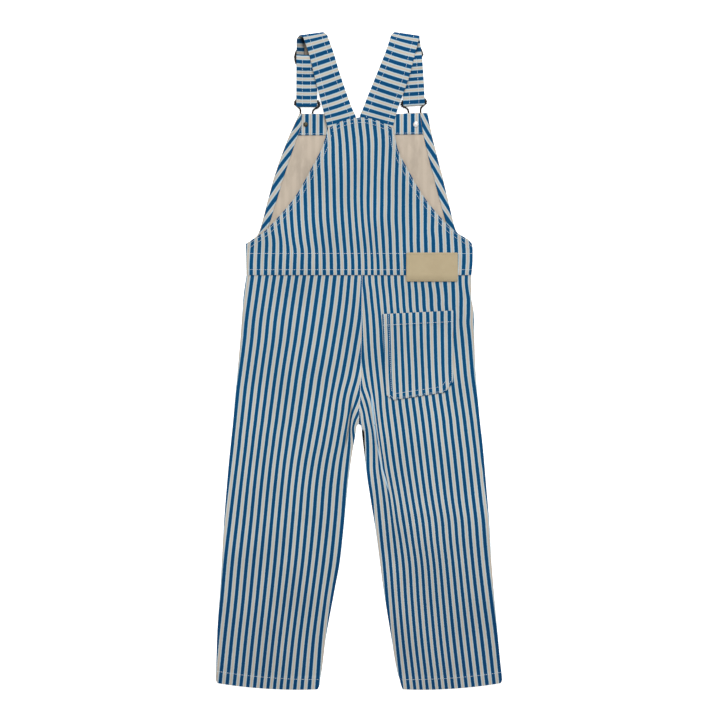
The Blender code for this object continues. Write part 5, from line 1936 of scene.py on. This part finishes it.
def strap_lines(side):
    """Stitch rows on the faces of a strap that look up."""
    parts = strap_parts(side)
    lines = []
    rows, out, width = ribbon(parts)
    counts = np.cumsum([len(part) for part in parts])
    for first, last in ((0, counts[1]), (counts[3], counts[4])):
        insets = DROP_ROWS[side] if first else STRAP_ROWS[side]
        for hand, inset in enumerate(insets):
            share = inset / width if hand == 0 else 1 - inset / width
            places = rows[:, 0] + (rows[:, 1] - rows[:, 0]) * share[:, None]
            face = 1.0 if out[(first + last) // 2, 2] > 0 else -1.0
            lifted = places + out * face * (STRAP_CLOTH / 2 - 0.08)
            line = lifted[first:last]
            lines.append(line[line[:, 2] > 0.2])
    return lines


def make_stitching():
    """Rows of stitches on every sewn edge and seam that shows."""
    cloth = bpy.context.scene.dungarees_cloth
    values = {
        "Stitch length": cloth.stitch_length,
        "Thread width": cloth.thread_width,
        "Thread height": cloth.thread_width * 0.75,
        "Spacing": cloth.stitch_spacing,
        "Seed": 7,
    }
    groups = {
        "bib_stitching": (bib_lines(), "back_bib_cloth", "sewing_thread"),
        "left_leg_stitching": ([hem_line("left")], "left_back_leg", "sewing_thread"),
        "right_leg_stitching": ([hem_line("right")], "right_back_leg", "sewing_thread"),
        "pocket_stitching": (pocket_lines(), "pocket_cloth", "sewing_thread"),
        "facing_stitching": (facing_lines(), "top_facing", "sewing_thread"),
        "patch_stitching": (patch_lines(), "leather_patch", "patch_thread"),
    }
    for name, (lines, cloth_piece, thread) in groups.items():
        surface = surface_of(cloth_piece)
        laid = [laid_on(surface, line) for line in lines]
        values["Thread"] = finish_of(thread)
        piece = grown(name, [line for line in laid if len(line) > 2], stitch_tree, values)
        dressed(piece, "striped_cloth")
    values["Thread"] = finish_of("sewing_thread")
    for side in ("left", "right"):
        piece = grown(f"{side}_strap_stitching", strap_lines(side), stitch_tree, values)
        dressed(piece, "striped_cloth")


# --- Stage ---


# The floor, the lamps and the camera, in metres
FLOOR_REACH, FLOOR_Z = 4.0, -0.0003
KEY_PLACE = (0.35, 1.7, 1.9)
FILL_PLACE, FILL_SIZE = (-0.8, -0.6, 2.6), 2.5
CAMERA_PLACE = (0.00065, 0.00195)


def make_stage():
    """A plain pale floor, soft light from the shoulders' end, and a camera straight above."""
    stage = bpy.context.scene.dungarees_stage
    floor_mesh = bpy.data.meshes.new("floor")
    corners = [(-1, -1), (1, -1), (1, 1), (-1, 1)]
    points = [(x * FLOOR_REACH, y * FLOOR_REACH, FLOOR_Z) for x, y in corners]
    floor_mesh.from_pydata(points, [], [(0, 1, 2, 3)])
    material, tree, shader = new_material("pale_floor")
    looks = {"Base Color": stage.floor_colour, "Roughness": 0.9, "Specular IOR Level": 0.1}
    glow = {"Emission Color": (1.0, 1.0, 1.0), "Emission Strength": stage.floor_glow}
    give(tree, shader, {**looks, **glow})
    floor_mesh.materials.append(material)
    floor = linked("floor", floor_mesh)

    add_lamp("key_light", stage.key_power, stage.key_size, KEY_PLACE)
    add_lamp("fill_light", stage.fill_power, FILL_SIZE, FILL_PLACE)

    world = bpy.data.worlds.new("soft_room")
    world.use_nodes = True
    back = world.node_tree.nodes["Background"]
    back.inputs["Color"].default_value = (1.0, 1.0, 1.0, 1.0)
    back.inputs["Strength"].default_value = stage.room_light
    bpy.context.scene.world = world

    camera = bpy.data.cameras.new("camera")
    camera.sensor_width = 36.0
    camera.lens = 150.0
    camera.clip_end = 50.0
    viewer = linked("camera", camera)
    viewer.location = (*CAMERA_PLACE, stage.camera_height)
    bpy.context.scene.camera = viewer
    bpy.context.scene.view_settings.view_transform = "Standard"


def add_lamp(name, power, size, place):
    lamp = bpy.data.lights.new(name, "AREA")
    lamp.energy = power
    lamp.size = size
    thing = linked(name, lamp)
    thing.location = place
    thing.rotation_euler = (-Vector(place)).to_track_quat("-Z", "Y").to_euler()


# --- Settings, operators and panel ---


def colour_setting(name, description, default):
    return bpy.props.FloatVectorProperty(
        name=name,
        description=description,
        default=default,
        size=3,
        min=0.0,
        max=1.0,
        subtype="COLOR",
    )


def length_setting(name, description, default):
    return bpy.props.FloatProperty(
        name=name, description=description, default=default, min=0.0, unit="LENGTH", precision=5
    )


def share_setting(name, description, default):
    return bpy.props.FloatProperty(
        name=name, description=description, default=default, min=0.0, max=1.0, subtype="FACTOR"
    )


def power_setting(name, description, default):
    return bpy.props.FloatProperty(
        name=name, description=description, default=default, min=0.0, unit="POWER"
    )


class ClothSettings(bpy.types.PropertyGroup):
    """Colours of the striped cloth and sizes of its stitches."""

    blue: colour_setting("Blue", "Blue of the stripes", (0.0019, 0.0505, 0.134))
    # Deep blue paints shade on the blue near the hems, and also deepens the blue on the straps
    deep_blue: colour_setting("Deep blue", "Blue near the hems", (0.0020, 0.038, 0.112))
    pale_blue: colour_setting(
        "Pale blue", "Where cream threads lie beside a blue stripe", (0.422, 0.490, 0.512)
    )
    rim_blue: colour_setting("Rim blue", "Blue along a stripe's edges", (0.003, 0.150, 0.265))
    faded_blue: colour_setting("Faded blue", "Blue where threads are worn", (0.012, 0.100, 0.215))
    cream: colour_setting("Cream", "Cream between the stripes", (0.472, 0.400, 0.330))
    # Colour of the painted highlights along the legs' crease ridges
    ridge_highlight: colour_setting("Worn lines", "Cloth that is rubbed pale", (0.385, 0.53, 0.64))
    # Painted shade: these two multiply the cream darker near the hems and above the waist
    low_cream: colour_setting(
        "Cream near the hems", "Multiplies the cream near the hems", (0.893, 0.874, 0.864)
    )
    upper_cream: colour_setting(
        "Cream above the waist", "Multiplies the cream above the legs", (0.9, 0.9, 0.9)
    )
    grey_cream: colour_setting("Grey cream", "Cream in the weave's hollows", (0.344, 0.322, 0.291))
    back_cream: colour_setting("Wrong side", "Cream of the cloth's back", (0.445, 0.378, 0.305))
    back_shade: colour_setting(
        "Wrong side shade", "Where stripes show through the wrong side", (0.335, 0.285, 0.230)
    )
    stripe_share: share_setting("Stripe share", "How much of the cloth is blue", 0.515)
    roughness: share_setting("Roughness", "Roughness of the cloth", 0.9)
    thread: colour_setting("Thread", "Colour of the stitches", (0.43, 0.50, 0.54))
    stitch_length: length_setting("Stitch length", "Length of one stitch", 0.0025)
    stitch_spacing: length_setting("Stitch spacing", "From one stitch to the next", 0.0027)
    thread_width: length_setting("Thread width", "Width of one stitch", 0.00068)


class MetalSettings(bpy.types.PropertyGroup):
    """Colours and wire of the clips, slides and buttons."""

    brass: colour_setting("Aged brass", "Dark finish of the wires", (0.014, 0.010, 0.008))
    worn_brass: colour_setting("Worn brass", "Where the finish is rubbed", (0.085, 0.052, 0.032))
    # The two button backs are the same metal: the olive colour paints it in shade, the silver
    # colours paint its bright reflection
    shaded_button_metal: colour_setting("Olive brass", "Back of the left button", (0.085, 0.078, 0.055))
    brass_roughness: share_setting("Brass roughness", "Roughness of the wires", 0.5)
    silver: colour_setting("Silver", "Back of the right button", (0.63, 0.62, 0.60))
    dull_lit_button: colour_setting("Dull silver", "Silver where it is dull", (0.55, 0.55, 0.54))
    lit_button_roughness: share_setting("Silver roughness", "Roughness of the silver", 0.3)
    clip_wire: length_setting("Clip wire", "Radius of the clips' wire", 0.0012)


class PatchSettings(bpy.types.PropertyGroup):
    """Colours of the leather patch."""

    colour: colour_setting("Leather", "Colour of the leather", (0.370, 0.303, 0.188))
    shade: colour_setting("Leather shade", "Darker parts of the leather", (0.348, 0.281, 0.172))
    thread: colour_setting("Patch thread", "Thread that sews the patch on", (0.27, 0.22, 0.135))
    roughness: share_setting("Leather roughness", "Roughness of the leather", 0.7)


class StageSettings(bpy.types.PropertyGroup):
    """Floor, light and camera."""

    floor_colour: colour_setting("Floor", "Colour of the floor", (0.90, 0.90, 0.90))
    floor_glow: share_setting("Floor glow", "Light that the floor itself gives", 0.7)
    key_power: power_setting("Key light", "Power of the main light", 62.0)
    key_size: length_setting("Key light size", "Width of the main light", 1.6)
    fill_power: power_setting("Fill light", "Power of the second light", 12.0)
    room_light: bpy.props.FloatProperty(
        name="Room light", description="Brightness of the room", default=0.55, min=0.0
    )
    camera_height: length_setting("Camera height", "Camera above the floor", 3.905)


class DUNGAREES_OT_legs(bpy.types.Operator):
    """Make the four walls of the legs"""

    bl_idname = "dungarees.legs"
    bl_label = "Legs"

    def execute(self, context):
        make_legs()
        return {"FINISHED"}


class DUNGAREES_OT_bibs(bpy.types.Operator):
    """Make the back bib and the front bib"""

    bl_idname = "dungarees.bibs"
    bl_label = "Bibs"

    def execute(self, context):
        make_bibs()
        return {"FINISHED"}


class DUNGAREES_OT_facings(bpy.types.Operator):
    """Make the facings on the front bib"""

    bl_idname = "dungarees.facings"
    bl_label = "Facings"

    def execute(self, context):
        make_facings()
        return {"FINISHED"}


class DUNGAREES_OT_pocket(bpy.types.Operator):
    """Make the back pocket"""

    bl_idname = "dungarees.pocket"
    bl_label = "Pocket"

    def execute(self, context):
        make_pocket()
        return {"FINISHED"}


class DUNGAREES_OT_patch(bpy.types.Operator):
    """Make the leather patch"""

    bl_idname = "dungarees.patch"
    bl_label = "Leather patch"

    def execute(self, context):
        make_patch()
        return {"FINISHED"}


class DUNGAREES_OT_straps(bpy.types.Operator):
    """Make the two straps"""

    bl_idname = "dungarees.straps"
    bl_label = "Straps"

    def execute(self, context):
        make_straps()
        return {"FINISHED"}


class DUNGAREES_OT_clips(bpy.types.Operator):
    """Make the wire clips"""

    bl_idname = "dungarees.clips"
    bl_label = "Clips"

    def execute(self, context):
        make_clips()
        return {"FINISHED"}


class DUNGAREES_OT_slides(bpy.types.Operator):
    """Make the wire slides"""

    bl_idname = "dungarees.slides"
    bl_label = "Slides"

    def execute(self, context):
        make_slides()
        return {"FINISHED"}


class DUNGAREES_OT_buttons(bpy.types.Operator):
    """Make the two buttons"""

    bl_idname = "dungarees.buttons"
    bl_label = "Buttons"

    def execute(self, context):
        make_buttons()
        return {"FINISHED"}


class DUNGAREES_OT_stitching(bpy.types.Operator):
    """Sew the rows of stitches"""

    bl_idname = "dungarees.stitching"
    bl_label = "Stitching"

    def execute(self, context):
        make_stitching()
        return {"FINISHED"}


class DUNGAREES_OT_stage(bpy.types.Operator):
    """Set up the floor, the light and the camera"""

    bl_idname = "dungarees.stage"
    bl_label = "Stage"

    def execute(self, context):
        make_stage()
        return {"FINISHED"}


SETTINGS = {
    "dungarees_cloth": ClothSettings,
    "dungarees_metal": MetalSettings,
    "dungarees_patch": PatchSettings,
    "dungarees_stage": StageSettings,
}
OPERATORS = [
    DUNGAREES_OT_legs,
    DUNGAREES_OT_bibs,
    DUNGAREES_OT_facings,
    DUNGAREES_OT_pocket,
    DUNGAREES_OT_patch,
    DUNGAREES_OT_straps,
    DUNGAREES_OT_clips,
    DUNGAREES_OT_slides,
    DUNGAREES_OT_buttons,
    DUNGAREES_OT_stitching,
    DUNGAREES_OT_stage,
]


class DUNGAREES_PT_panel(bpy.types.Panel):
    """Lists the pieces and their settings"""

    bl_idname = "DUNGAREES_PT_panel"
    bl_label = "Striped dungarees"
    bl_space_type = "VIEW_3D"
    bl_region_type = "UI"
    bl_category = "Dungarees"

    def draw(self, context):
        for operator in OPERATORS:
            self.layout.operator(operator.bl_idname)
        for key in SETTINGS:
            box = self.layout.box()
            group = getattr(context.scene, key)
            for name in group.__annotations__:
                box.prop(group, name)


CLASSES = [*SETTINGS.values(), *OPERATORS, DUNGAREES_PT_panel]


def register():
    for each in CLASSES:
        bpy.utils.register_class(each)
    for key, group in SETTINGS.items():
        setattr(bpy.types.Scene, key, bpy.props.PointerProperty(type=group))


def unregister():
    for key in SETTINGS:
        delattr(bpy.types.Scene, key)
    for each in reversed(CLASSES):
        bpy.utils.unregister_class(each)


def main():
    register()
    for operator in OPERATORS:
        group, name = operator.bl_idname.split(".")
        getattr(getattr(bpy.ops, group), name)()
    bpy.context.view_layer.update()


if __name__ == "__main__":
    main()
